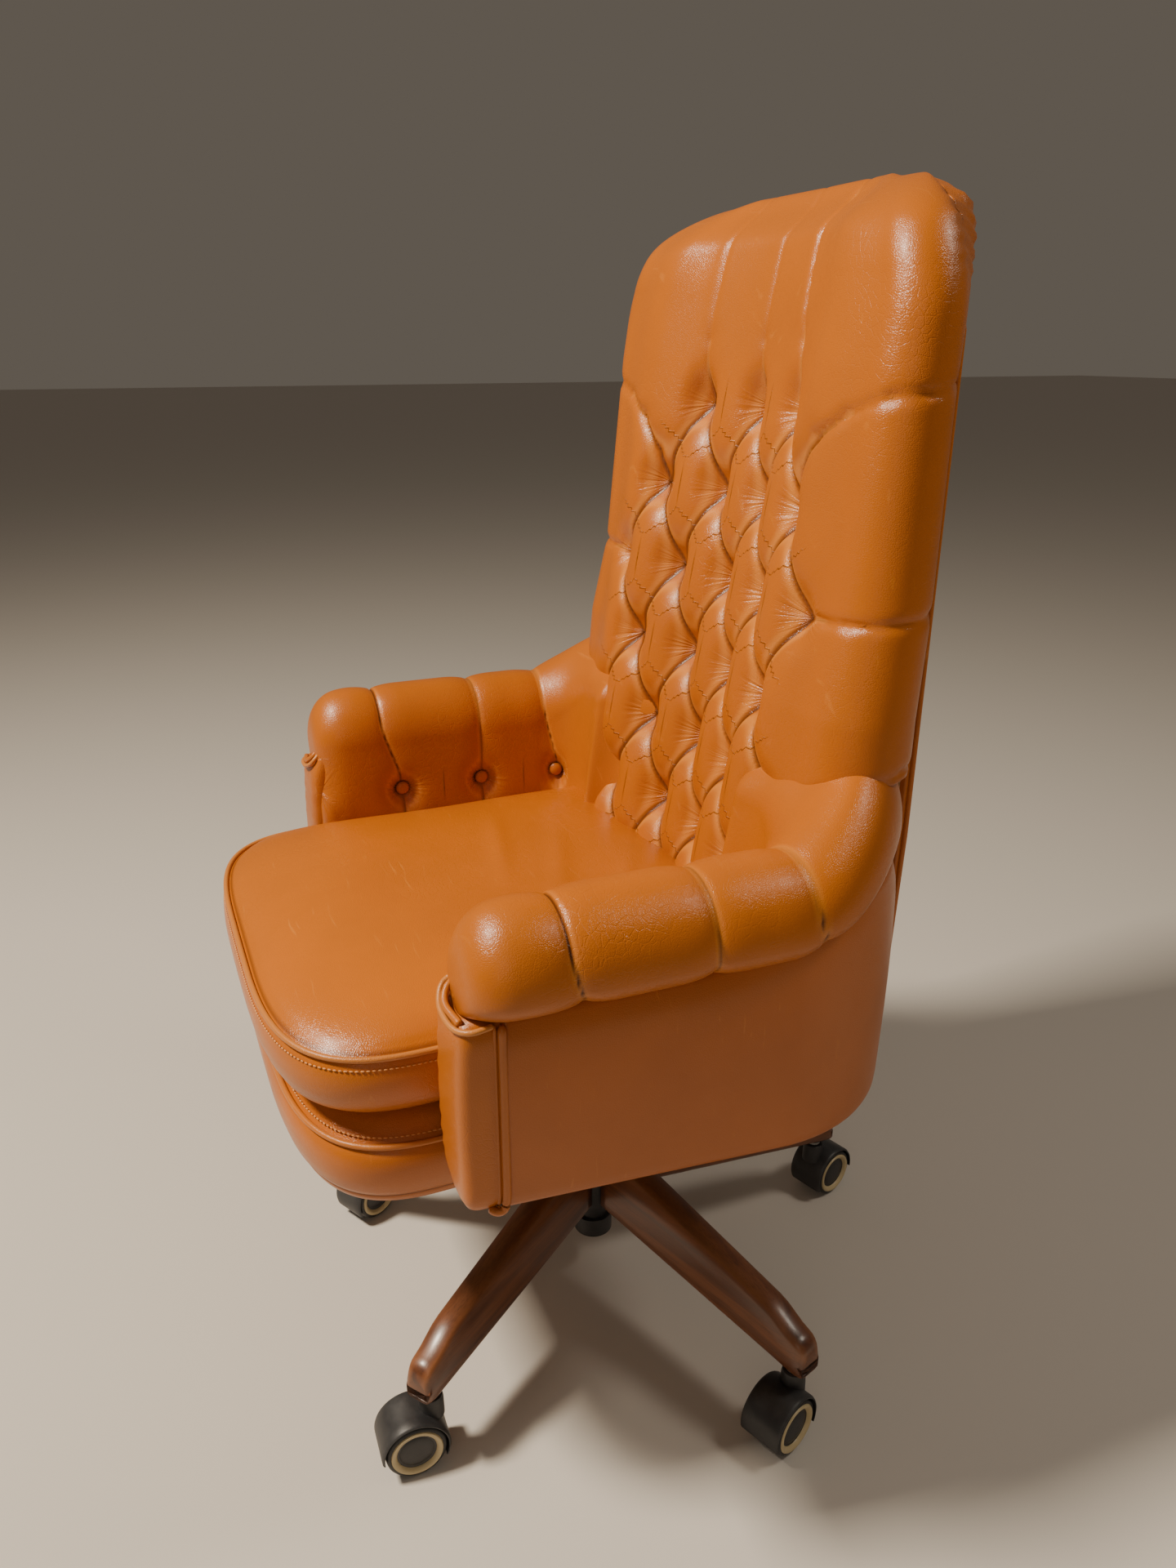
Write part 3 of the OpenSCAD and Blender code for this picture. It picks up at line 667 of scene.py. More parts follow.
def arm_padding(side):
    """A padded arm: the roll, the buttoned inside and the sewn lines over it."""
    stations = arm_stations()
    sections = [arm_section(t) for t in stations]
    shown = sections[0][1]
    base = np.array([place_section(s[0], t) for s, t in zip(sections, stations)])
    normals = grid_normals(base, True)
    if np.mean(np.sum((normals * (base - base.mean(axis=1, keepdims=True)))[:, :60], -1)) < 0:
        normals = -normals
    t = np.repeat(stations[:, None], base.shape[1], 1)
    z = base[..., 2]
    top_share = smoothstep(BUTTON_Z, ROLL_Z + 0.03, z)
    puff = np.ones_like(t)
    fold = np.ones_like(t)
    reach = np.zeros(t.shape + (3,))
    nearest = np.full_like(t, 9.0)
    index = np.arange(base.shape[1])[None, :]
    for k, (top, low) in enumerate(SEAMS):
        line = low + (top - low) * top_share
        distance = np.abs(t - line)
        puff *= quarter(distance / 0.030) * 0.75 + 0.25
        fold = np.minimum(fold, np.clip(distance / 0.0035, 0, 1))
        spot = np.hypot(t - low, z - BUTTON_Z) + 0.5 * (index < 52)
        puff *= 1 - 1.9 * np.exp(-(spot / 0.017) ** 2)
        fold = np.minimum(fold, 1 - np.exp(-(spot / 0.0115) ** 4))
        closer = spot < nearest
        nearest = np.where(closer, spot, nearest)
        for axis, value in ((0, t - low), (1, z - BUTTON_Z), (2, np.full_like(t, k * 5.1 + side))):
            reach[..., axis] = np.where(closer, value, reach[..., axis])
    gather = np.hypot(t - ARM_TIP_Y, z - 0.535) + 0.5 * (index < 40)
    closer = (gather < nearest) & (gather < 0.04)
    for axis, value in ((0, z - 0.535), (1, t - ARM_TIP_Y), (2, np.full_like(t, 8.3))):
        reach[..., axis] = np.where(closer, value, reach[..., axis])
    hidden = index >= shown
    height = np.where(hidden, 0, 0.0085 * puff - 0.0060)
    tip = smoothstep(0.0, 0.03, t - ARM_TIP_Y)
    points = base + normals * (height * tip)[..., None]
    if side < 0:
        points = mirrored(points)
    rows, cols = t.shape
    piece = new_piece("arm_padding_" + ("left" if side > 0 else "right"), points,
                      grid_faces(rows, cols, True), MATERIALS["leather"])
    # Painted shade in the sewn lines and round the button pits.
    set_values(piece, "crease_shade", np.where(hidden, 0, 1 - fold))
    # Paler lips beside the seams: wear, and partly a painted highlight.
    set_values(piece, "edge", lip_wear_and_highlight(puff) * 0.8)
    set_values(piece, "reach", reach)
    close_and_face_out(piece)
    return finish(piece, "seat", ["arm_pad_left" if side > 0 else "arm_pad_right"])


# ---- seat ----

SEAT_HALF = 0.243
SEAT_FRONT = -0.356
SEAT_CORNER = 0.100
FRONT_POINTS = 220
SEAT_MIDDLE = (0.0, -0.12)
CUSHION_WELT_Z = 0.4975
RAIL_WELT_Z = 0.4150
WELT_R = 0.0026


def seat_outline(half, front, rear, corner, count):
    """The seat's plan: straight sides running into a D-shaped front. Runs from the left rear to the right."""
    deep = corner + 0.030
    shoulder = front + deep
    points = [(half, y, 0) for y in np.linspace(rear, shoulder, 5)[:-1]]
    for a in np.radians(np.linspace(0, -180, 41)):
        x = half * math.copysign(abs(math.cos(a)) ** 0.50, math.cos(a))
        points.append((x, shoulder - deep * abs(math.sin(a)) ** 0.62, 0))
    points += [(-half, y, 0) for y in np.linspace(shoulder, rear, 5)[1:]]
    return smooth_path(points, count)


def ring_inset(outline, inset):
    """The outline drawn in towards the middle of the seat by a distance."""
    middle = np.array([*SEAT_MIDDLE, 0])
    out = outline - middle
    length = np.linalg.norm(out[:, :2], axis=1, keepdims=True)
    return middle + out * (1 - inset / length)


def cushion_outline():
    """The loose cushion's plan: the seat's front and sides, then a shallow bow at the rear."""
    front = seat_outline(SEAT_HALF - 0.003, SEAT_FRONT, 0.075, SEAT_CORNER, FRONT_POINTS)
    rear = smooth_path([front[-1], (-SEAT_HALF + 0.02, 0.098, 0), (0, 0.104, 0), (SEAT_HALF - 0.02, 0.098, 0),
                        front[0]], 60)
    return np.vstack([front, rear[1:-1]])


def seat_cushion():
    """The loose cushion: a bulging band, a welted edge and a crowned, slightly creased top."""
    outline = cushion_outline()
    levels = []
    for inset, z in [(0.040, 0.441), (0.022, 0.4405), (0.010, 0.443), (0.0035, 0.4485), (0.0, 0.455),
                     (-0.003, 0.463), (-0.0045, 0.472), (-0.004, 0.482), (-0.001, 0.491), (0.003, 0.497),
                     (0.006, 0.4985)]:
        levels.append((inset, z))
    for k in range(1, 46):
        share = k / 45
        levels.append((0.006 + share * 0.235, CUSHION_WELT_Z + 0.022 * quarter(share * 2.0)
                       + 0.011 * math.sin(share * math.pi / 2)))
    rows = []
    middle = np.array([*SEAT_MIDDLE, 0])
    for inset, z in levels:
        ring = ring_inset(outline, min(inset, 0.006))
        if inset > 0.006 and z > 0.49:
            ring = middle + (ring - middle) * (1 - (inset - 0.006) / 0.24)
        elif inset > 0.006:
            ring = ring_inset(outline, inset)
        ring[:, 2] = z
        rows.append(ring)
    points = np.array(rows)
    x, y = points[..., 0], points[..., 1]
    top = smoothstep(0.496, 0.510, points[..., 2])
    dip = 0.004 * np.exp(-((x / 0.13) ** 2 + ((y + 0.10) / 0.13) ** 2))
    ripple = 0.0012 * np.sin(x * 21 + y * 13) * np.sin(y * 17 - x * 7)
    creases = [(0.02, -0.045, -0.35, 0.10), (-0.05, -0.085, -0.25, 0.08), (0.09, -0.005, -0.5, 0.07)]
    for x0, y0, slope, length in creases:
        off = (y - y0) - slope * (x - x0)
        ripple += 0.0022 * np.exp(-(off / 0.011) ** 2 - ((x - x0) / length) ** 2)
    points[..., 2] += top * (ripple - dip)
    piece = new_piece("cushion", points, grid_faces(*x.shape, True), MATERIALS["seat"])
    from_welt = np.abs(0.006 - np.array([level[0] for level in levels]))[:, None]
    near = np.abs(points[..., 2] - 0.4985) + from_welt
    # Painted shade along the welt seam.
    set_values(piece, "crease_shade", 1 - np.clip(near / 0.004, 0.25, 1))
    set_values(piece, "edge", np.zeros_like(x))
    set_values(piece, "reach", np.full(x.shape + (3,), 9.0))
    close_and_face_out(piece)
    return finish(piece, "seat", ["seat_cushion"])


def rail_outline():
    """The front rail's plan, just inside the cushion's."""
    return seat_outline(SEAT_HALF - 0.001, SEAT_FRONT + 0.012, -0.205, SEAT_CORNER - 0.006, 200)


def front_rail():
    """The upholstered rail under the cushion, with its welt and a second roll below it."""
    outline = rail_outline()
    profile = [(0.075, 0.442), (0.040, 0.440), (0.026, 0.436), (0.014, 0.427), (0.005, 0.417),
               (0.002, 0.4135), (-0.002, 0.409), (-0.005, 0.402), (-0.0055, 0.393), (-0.004, 0.382),
               (-0.001, 0.3715), (0.002, 0.3665), (0.0035, 0.3655), (0.0030, 0.3640), (0.006, 0.3580),
               (0.012, 0.3540), (0.022, 0.3520), (0.035, 0.3515), (0.075, 0.356)]
    rows = []
    for inset, z in profile:
        ring = ring_inset(outline, inset)
        ring[:, 2] = z
        rows.append(ring)
    points = np.array(rows)
    points = np.vstack([points, points[:1]])
    piece = new_piece("rail", points, grid_faces(*points.shape[:2], False), MATERIALS["leather"])
    z = points[..., 2]
    # Painted shade in the groove between the rail's two rolls.
    set_values(piece, "crease_shade", 1 - np.clip(np.abs(z - 0.3655) / 0.002, 0.1, 1))
    set_values(piece, "edge", np.zeros_like(z))
    set_values(piece, "reach", np.full(z.shape + (3,), 9.0))
    close_and_face_out(piece, weld=0.0002)
    return finish(piece, "seat", ["front_rail"])


# ---- piping, stitches and covered buttons ----

def tube(name, path, radius, material, wear):
    """A solid cord along a path, closed at both ends; wear is how pale it has rubbed."""
    rounds = 10
    path = np.asarray(path, float)
    along = np.gradient(path, axis=0)
    along /= np.linalg.norm(along, axis=1, keepdims=True)
    up = np.array([0.0, 0.0, 1.0])
    side = np.cross(along, up)
    weak = np.linalg.norm(side, axis=1) < 0.2
    side[weak] = np.cross(along[weak], np.array([0.0, 1.0, 0.0]))
    side /= np.linalg.norm(side, axis=1, keepdims=True)
    over = np.cross(side, along)
    turn = np.linspace(0, 2 * math.pi, rounds, endpoint=False)
    ring = np.cos(turn)[None, :, None] * side[:, None] + np.sin(turn)[None, :, None] * over[:, None]
    size = np.full(len(path), radius)
    size[0] = size[-1] = radius * 0.45
    points = path[:, None] + ring * size[:, None, None]
    piece = new_piece(name, points, grid_faces(len(path), rounds, True), material)
    set_values(piece, "edge", np.full(points.shape[:2], wear))
    close_and_face_out(piece)
    return finish(piece, "seat")


def stitch_maker():
    """A node tree that lays short stitches along a line."""
    tree = bpy.data.node_groups.new("stitches", "GeometryNodeTree")
    tree.interface.new_socket("Line", in_out="INPUT", socket_type="NodeSocketGeometry")
    for label, kind, value in (("Step", "NodeSocketFloat", 0.0044), ("Length", "NodeSocketFloat", 0.0034),
                               ("Thickness", "NodeSocketFloat", 0.0007), ("Seed", "NodeSocketInt", 4)):
        tree.interface.new_socket(label, in_out="INPUT", socket_type=kind).default_value = value
    tree.interface.new_socket("Thread", in_out="INPUT", socket_type="NodeSocketMaterial")
    tree.interface.new_socket("Stitches", in_out="OUTPUT", socket_type="NodeSocketGeometry")
    sheet = Sheet(tree)
    given = sheet.add("NodeGroupInput").outputs
    out = sheet.add("NodeGroupOutput")

    def step(kind, result, settings=None, **inputs):
        return sheet.feed(sheet.add(kind, **(settings or {})), **inputs).outputs[result]

    curve = step("GeometryNodeMeshToCurve", "Curve", Mesh=given["Line"])
    evenly = step("GeometryNodeResampleCurve", "Curve", {"mode": "LENGTH"}, Curve=curve, Length=given["Step"])
    tangent = step("GeometryNodeInputTangent", "Tangent")
    facing = step("FunctionNodeAlignRotationToVector", "Rotation", {"axis": "Z"}, Vector=tangent)
    bead = step("GeometryNodeMeshIcoSphere", "Mesh", Radius=1.0, Subdivisions=2)
    size = step("ShaderNodeCombineXYZ", 0, X=given["Thickness"], Y=given["Thickness"],
                Z=sheet.maths("MULTIPLY", given["Length"], 0.5))
    vary = sheet.add("FunctionNodeRandomValue", data_type="FLOAT")
    vary.inputs[2].default_value = 0.88
    vary.inputs[3].default_value = 1.12
    sheet.join(given["Seed"], vary.inputs["Seed"])
    scaled = sheet.add("ShaderNodeVectorMath", operation="SCALE")
    sheet.join(size, scaled.inputs[0])
    sheet.join(vary.outputs[1], scaled.inputs["Scale"])
    repeat = step("GeometryNodeInstanceOnPoints", "Instances", Points=evenly, Instance=bead, Rotation=facing,
                  Scale=scaled.outputs[0])
    real = step("GeometryNodeRealizeInstances", "Geometry", Geometry=repeat)
    dressed = step("GeometryNodeSetMaterial", "Geometry", Geometry=real, Material=given["Thread"])
    sheet.join(dressed, out.inputs["Stitches"])
    return tree


def stitches(tree, name, path):
    """A row of stitches along a path, as one plain mesh."""
    mesh = bpy.data.meshes.new(name + "_line")
    mesh.from_pydata([tuple(p) for p in path], [(k, k + 1) for k in range(len(path) - 1)], [])
    line = bpy.data.objects.new(name + "_line", mesh)
    bpy.context.scene.collection.objects.link(line)
    modifier = line.modifiers.new("stitches", "NODES")
    modifier.node_group = tree
    sockets = {item.name: item.identifier for item in tree.interface.items_tree if item.in_out == "INPUT"}
    modifier[sockets["Step"]] = 0.0044
    modifier[sockets["Thread"]] = MATERIALS["thread"]
    seen = line.evaluated_get(bpy.context.evaluated_depsgraph_get())
    finished = bpy.data.meshes.new_from_object(seen)
    bpy.data.objects.remove(line)
    piece = bpy.data.objects.new(name, finished)
    bpy.context.scene.collection.objects.link(piece)
    finished.shade_smooth()
    return finish(piece, "seat")


def revolve(profile, centre, axis, count):
    """Points of a turned shape: a profile of (distance along the axis, radius) turned about the axis."""
    axis = np.asarray(axis, float) / np.linalg.norm(axis)
    side = np.cross(axis, [0, 0, 1.0])
    if np.linalg.norm(side) < 0.1:
        side = np.array([1.0, 0, 0])
    side /= np.linalg.norm(side)
    over = np.cross(axis, side)
    turn = np.linspace(0, 2 * math.pi, count, endpoint=False)
    spokes = np.cos(turn)[:, None] * side + np.sin(turn)[:, None] * over
    rows = [np.asarray(centre) + axis * a + spokes * max(r, 1e-5) for a, r in profile]
    return np.array(rows)


def turned(name, profile, centre, axis, material, body, nodes=(), count=48):
    """A turned piece: its profile goes round the axis, and the ends close."""
    points = revolve(profile, centre, axis, count)
    piece = new_piece(name, points, grid_faces(len(profile), count, True), material)
    close_and_face_out(piece)
    piece.data.set_sharp_from_angle(angle=math.radians(38))
    return finish(piece, body, nodes)


def covered_button(name, centre, axis, material):
    """A domed leather-covered button, with painted shade where it sinks in."""
    profile = [(-0.006, 0.006)] + [(0.0036 * math.sin(a), 0.0080 * math.cos(a)) for a in
                                   np.radians([-20, 0, 15, 30, 45, 60, 75, 88])]
    points = revolve(profile, centre, axis, 24)
    piece = new_piece(name, points, grid_faces(len(profile), 24, True), material)
    # Painted shade at the foot of the dome, where it sinks into the leather.
    rim = np.interp(np.arange(len(profile)), [0, 2, 5], [1.0, 0.8, 0.35])
    set_values(piece, "crease_shade", np.repeat(rim, 24))
    close_and_face_out(piece)
    return piece


def seat_welts(tree):
    """Piping and stitch rows of the cushion and the rail."""
    outline = cushion_outline()[:FRONT_POINTS]
    path = ring_inset(outline, 0.0005)
    path[:, 2] = CUSHION_WELT_Z
    tube("cushion_welt", path, WELT_R, MATERIALS["piping"], 0.45)
    below = ring_inset(outline, -0.0024)
    below[:, 2] = CUSHION_WELT_Z - 0.0083
    stitches(tree, "cushion_stitches", below[6:-6])
    rail = rail_outline()
    cord = ring_inset(rail, 0.0)
    cord[:, 2] = RAIL_WELT_Z
    tube("rail_welt", cord, WELT_R, MATERIALS["piping"], 0.25)
    above = ring_inset(rail, 0.0052)
    above[:, 2] = RAIL_WELT_Z + 0.0055
    stitches(tree, "rail_stitches", above)


# ---- arm fronts, outside panels ----

PANEL_X = 0.3200
PANEL_TOP = 0.566
SHELL_CORNER = 0.186
SHELL_REAR = 0.2215
REAR_HALF = 0.205
REAR_TOP_HALF = 0.184


def shell_path(count=120):
    """Plan of the outside of the tub, from an arm's front round to the edge of the rear panel."""
    middle_x, middle_y = PANEL_X - SHELL_CORNER, SHELL_REAR - SHELL_CORNER
    points = [(PANEL_X, -0.2050), (PANEL_X, -0.14), (PANEL_X, -0.05), (PANEL_X, middle_y)]
    last = math.degrees(math.acos((REAR_HALF - middle_x) / SHELL_CORNER))
    for a in np.radians(np.linspace(0, last, 14)[1:]):
        points.append((middle_x + SHELL_CORNER * math.cos(a), middle_y + SHELL_CORNER * math.sin(a)))
    return smooth_path([(x, y, 0) for x, y in points], count)


def low_edge(y):
    """Height of the outside panel's raked lower edge."""
    return 0.381 - math.tan(math.radians(4.5)) * y


def panel_top(y):
    """Height where the outside panel goes in under the arm's roll."""
    return PANEL_TOP + 0.030 * smoothstep(-0.05, 0.10, y)


def outside_panel(side):
    """The big smooth leather panel outside an arm, with a softly rounded lower edge."""
    path = shell_path()
    along = np.gradient(path, axis=0)
    out = np.stack([along[:, 1], -along[:, 0], np.zeros(len(path))], -1)
    out /= np.linalg.norm(out, axis=1, keepdims=True)
    rows = []
    rounding = [(-0.008, 0.012), (-0.008, 0.004), (-0.0065, 0.0012), (-0.0035, 0.0), (-0.0012, 0.0014),
                (0.0, 0.0045), (0.0007, 0.012), (0.0013, 0.03)]
    for inset, rise in rounding:
        row = path + out * inset
        row[:, 2] = low_edge(path[:, 1]) + rise
        rows.append(row)
    for share in np.linspace(0, 1, 16)[1:]:
        row = path + out * (0.0013 + 0.0022 * math.sin(share * math.pi)
                            - 0.006 * max(0, share - 0.85) / 0.15)
        start = low_edge(path[:, 1]) + 0.03
        row[:, 2] = start + (panel_top(path[:, 1]) - start) * share
        rows.append(row)
    row = path + out * -0.008
    row[:, 2] = panel_top(path[:, 1])
    rows.append(row)
    points = np.array(rows + rows[:1])
    if side < 0:
        points = mirrored(points)
    label = "left" if side > 0 else "right"
    faces = grid_faces(*points.shape[:2], False)
    piece = new_piece("outside_panel_" + label, points, faces, MATERIALS["panel"])
    close_and_face_out(piece, weld=0.0001)
    finish(piece, "seat", ["outside_arm_" + label])
    hook = smooth_path([(0.3150, -0.2190, 0.3985), (0.3195, -0.2140, 0.3968), (0.3208, -0.2085, 0.3990),
                        (PANEL_X + 0.0010, -0.2065, 0.409)], 14)
    rise = [(PANEL_X + 0.0010, -0.2065, z) for z in np.linspace(0.413, 0.560, 36)]
    cord = np.array([tuple(p) for p in hook] + rise)
    groove = cord[8:] + np.array([-0.0018, -0.0050, 0])
    for name, line, r in (("arm_welt_" + label, cord, 0.0036), ("arm_welt_inner_" + label, groove, 0.0016)):
        tube(name, line if side > 0 else mirrored(line), r, MATERIALS["piping"], 0.05)
    return piece


def arm_front(side):
    """The upright padded panel on the front of an arm."""
    half_w, middle, deep = 0.0335, 0.2870, 0.2180
    outline = []
    for a in np.linspace(0, 2 * math.pi, 72, endpoint=False):
        c, s = math.cos(a), math.sin(a)
        round_x = half_w * math.copysign(abs(c) ** 0.35, c)
        depth = 0.020 * math.copysign(abs(s) ** 0.55, s)
        outline.append((middle + round_x, depth - deep))
    outline = np.array(outline)
    rows = []
    heights = [0.3975, 0.3985, 0.401, 0.4055, 0.412, *np.linspace(0.42, 0.545, 16), 0.552, 0.557, 0.560]
    for z in heights:
        low = 1 - 0.30 * (1 - float(quarter((z - 0.397) / 0.014)))
        high = 1 - 0.10 * float(smoothstep(0.548, 0.560, z))
        scale = low * high
        ring = np.empty((len(outline), 3))
        ring[:, 0] = middle + (outline[:, 0] - middle) * scale
        ring[:, 1] = (outline[:, 1] + deep) * scale - deep
        ring[:, 2] = z
        forward = np.clip(-(outline[:, 1] + deep) / 0.02, 0, 1)
        crown = 0.003 * math.sin((z - 0.397) / 0.163 * math.pi)
        ripple = 0.0006 * math.sin(z * 420) * np.sin(outline[:, 0] * 90)
        ring[:, 1] -= forward * (crown + ripple)
        inner = smoothstep(0.004, 0.034, middle - outline[:, 0])
        ring[:, 2] += inner * 0.014 * (1 - float(smoothstep(0.397, 0.44, z)))
        ring[:, 2] += inner * 0.014 * float(smoothstep(0.50, 0.56, z))
        ring[:, 1] += inner * forward * 0.006 * float(smoothstep(0.53, 0.56, z))
        rows.append(ring)
    points = np.array(rows)
    if side < 0:
        points = mirrored(points)
    label = "left" if side > 0 else "right"
    piece = new_piece(f"arm_front_{label}_pad", points, grid_faces(len(rows), 72, True), MATERIALS["leather"])
    close_and_face_out(piece)
    finish(piece, "seat", ["arm_front_" + label])
    collar = smooth_path([(0.3195, -0.2120, 0.5600), (0.3190, -0.2290, 0.5580), (0.3070, -0.2385, 0.5570),
                          (0.2830, -0.2405, 0.5590), (0.2690, -0.2375, 0.5640), (0.2640, -0.2330, 0.5700),
                          (0.2660, -0.2270, 0.5760)], 60)
    pleat = smooth_path([(0.3100, -0.2340, 0.5610), (0.2850, -0.2375, 0.5640), (0.2740, -0.2330, 0.5710),
                         (0.2740, -0.2260, 0.5780)], 50)
    if side < 0:
        collar, pleat = mirrored(collar), mirrored(pleat)
    tube("arm_front_welt_" + label, collar, 0.0024, MATERIALS["piping"], 0.55)
    tube("arm_front_pleat_" + label, pleat, 0.0030, MATERIALS["leather"], 0.2)


def arm_buttons():
    """The covered buttons inside both arms, one at the foot of each sewn line."""
    parts = []
    for side in SIDES.values():
        for k, (_, low) in enumerate(SEAMS):
            section, shown = arm_section(low)
            place = place_section(section, low)
            nearest = np.argmin(np.abs(place[60:shown, 2] - BUTTON_Z)) + 60
            turn = turned_by(low)
            facing = np.array([-math.cos(turn), -math.sin(turn), 0.05])
            centre = place[nearest] - facing * 0.0062
            if side < 0:
                centre, facing = mirrored(centre), mirrored(facing)
            parts.append(covered_button(f"arm_button_{k}_{side}", centre, facing, MATERIALS["leather"]))
    for part in parts:
        finish(part, "seat")
    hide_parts("arm_buttons")


def rear_half(z):
    """Half the rear panel's width at a height: straight up to the arms, then narrowing."""
    return np.interp(z, [0.36, 0.59, 1.10], [REAR_HALF, REAR_HALF, REAR_TOP_HALF])


def rear_face(z):
    """The raked plane of the outside of the back."""
    return 0.2145 + REAR_RAKE * (z - 0.360)


def rear_panel():
    """The outside of the back: a raked, softly crowned panel that narrows upwards, piped at its edges."""
    low_z, high_z, corner = 0.368, 1.094, 0.050
    rows = []
    for z in np.concatenate([np.linspace(low_z, high_z - corner, 30),
                             high_z - corner + corner * np.sin(np.radians(np.linspace(8, 88, 12)))]):
        half = rear_half(z)
        over = max(0.0, z - high_z + corner)
        half -= corner - math.sqrt(max(corner ** 2 - over ** 2, 0))
        y = rear_face(z)
        end = min(1.0, (z - low_z) / 0.02, (high_z - z) / 0.02)
        row = []
        for s in np.linspace(-1, 1, 41):
            crown = 0.0045 * float(quarter((1 - abs(s)) * 9)) * max(end, 0.2)
            row.append((s * half, y - 0.0035 + crown, z))
        for s in np.linspace(1, -1, 9):
            row.append((s * half, y - 0.0085, z))
        rows.append(row)
    points = np.array(rows)
    piece = new_piece("rear_panel", points, grid_faces(len(rows), 50, True), MATERIALS["panel"])
    close_and_face_out(piece)
    finish(piece, "seat", ["outside_back"])
    for side in SIDES.values():
        edge = [(side * (rear_half(z) - 0.001), rear_face(z) - 0.0003, z)
                for z in np.linspace(0.372, 1.03, 90)]
        cord = tube("rear_welt_" + ("left" if side > 0 else "right"), edge, 0.0028, MATERIALS["piping"], 0.1)
    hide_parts("welts")


# ---- base ----

def leg(k):
    """A wooden leg: level underneath, falling towards the tip, with soft edges and a rounded nose."""
    azimuth = math.radians(18 + 72 * (k - 1))
    out = np.array([math.cos(azimuth), math.sin(azimuth), 0])
    across = np.array([-math.sin(azimuth), math.cos(azimuth), 0])
    root, shoulder_r, nose, drop_deep = 0.036, 0.306, 0.013, 0.012
    tip = [shoulder_r + nose * math.sin(a) for a in np.radians([18, 36, 54, 70, 82, 90])]
    reach = list(np.linspace(root, shoulder_r, 30)) + tip
    rows = []
    edge = []
    for r in reach:
        share = (r - root) / 0.284
        top = 0.1815 - 0.0515 * share
        low = 0.0845 + 0.024 * (1 - share)
        half = 0.0200 - 0.0042 * share
        end = max(0.0, (r - shoulder_r) / nose)
        drop = drop_deep * (1 - math.sqrt(max(1 - end ** 2, 0)))
        top -= drop * 1.2 + 0.010 * float(smoothstep(0.27, shoulder_r, r))
        half -= drop * 0.35
        ring = []
        worn = []
        crown = half * 0.72
        for s, z, w in [(-half, low + 0.004, 0), (-half, low + 0.012, 0), (-half, top - 0.020, 0),
                        (-half + 0.0008, top - 0.0125, 0), (-half + 0.0022, top - 0.0065, 0.5),
                        (-crown - 0.0006, top - 0.0014, 1), (-crown + 0.0012, top - 0.0002, 0.8),
                        (-crown * 0.45, top + 0.0012, 0), (0, top + 0.0017, 0),
                        (crown * 0.45, top + 0.0012, 0),
                        (crown - 0.0012, top - 0.0002, 0.8), (crown + 0.0006, top - 0.0014, 1),
                        (half - 0.0022, top - 0.0065, 0.5), (half - 0.0008, top - 0.0125, 0),
                        (half, top - 0.020, 0), (half, low + 0.012, 0), (half, low + 0.004, 0),
                        (half - 0.0012, low + 0.0012, 0.4), (half - 0.004, low, 0), (0, low, 0),
                        (-half + 0.004, low, 0), (-half + 0.0012, low + 0.0012, 0.4)]:
            ring.append(out * r + across * s + np.array([0, 0, z]))
            worn.append(w * 0.5 + 0.5 * w * float(smoothstep(0.28, 0.31, r)))
        rows.append(ring)
        edge.append(worn)
    points = np.array(rows)
    piece = new_piece(f"wood_leg_{k}", points, grid_faces(*points.shape[:2], True), MATERIALS["wood"])
    local = np.stack([points @ out, points @ across, points[..., 2]], -1) + np.array([0, k * 0.31, k * 0.17])
    set_values(piece, "grain", local)
    set_values(piece, "edge", np.array(edge))
    close_and_face_out(piece)
    return finish(piece, "base", [f"leg_{k}"])


def box_middle(name):
    """Middle of a CAD node's box."""
    low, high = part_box(name)
    return 0.5 * (np.array(low) + np.array(high))


def wheel(k, letter):
    """One wheel of a twin caster: tread, broad cream ring and a sunken dark cap on its outer face."""
    centre = box_middle(f"wheel_{k}_{letter}")
    other = box_middle(f"wheel_{k}_" + ("b" if letter == "a" else "a"))
    axis = centre - other
    axis /= np.linalg.norm(axis)
    body = f"wheel_{k}_{letter}"
    tread = [(-0.0088, 0.008), (-0.0088, 0.0265), (-0.0078, 0.0285), (-0.0050, 0.0297), (0.0030, 0.0297),
             (0.0062, 0.0290), (0.0078, 0.0274), (0.0082, 0.0254), (0.0060, 0.0248), (0.0060, 0.008)]
    ring = [(0.0050, 0.0250), (0.0082, 0.0252), (0.0094, 0.0244), (0.0097, 0.0232), (0.0090, 0.0214),
            (0.0076, 0.0198), (0.0060, 0.0190), (0.0050, 0.0188)]
    cap = [(0.0040, 0.0196), (0.0062, 0.0194), (0.0060, 0.0168), (0.0066, 0.0160), (0.0074, 0.0115),
           (0.0077, 0.0060), (0.0077, 0.0)]
    turned(f"tread_{k}_{letter}", tread, centre, axis, MATERIALS["tread"], body,
           [f"wheel_{k}_{letter}"])
    turned(f"ring_{k}_{letter}", ring, centre, axis, MATERIALS["ring"], body)
    turned(f"cap_{k}_{letter}", cap, centre, axis, MATERIALS["nylon"], body)


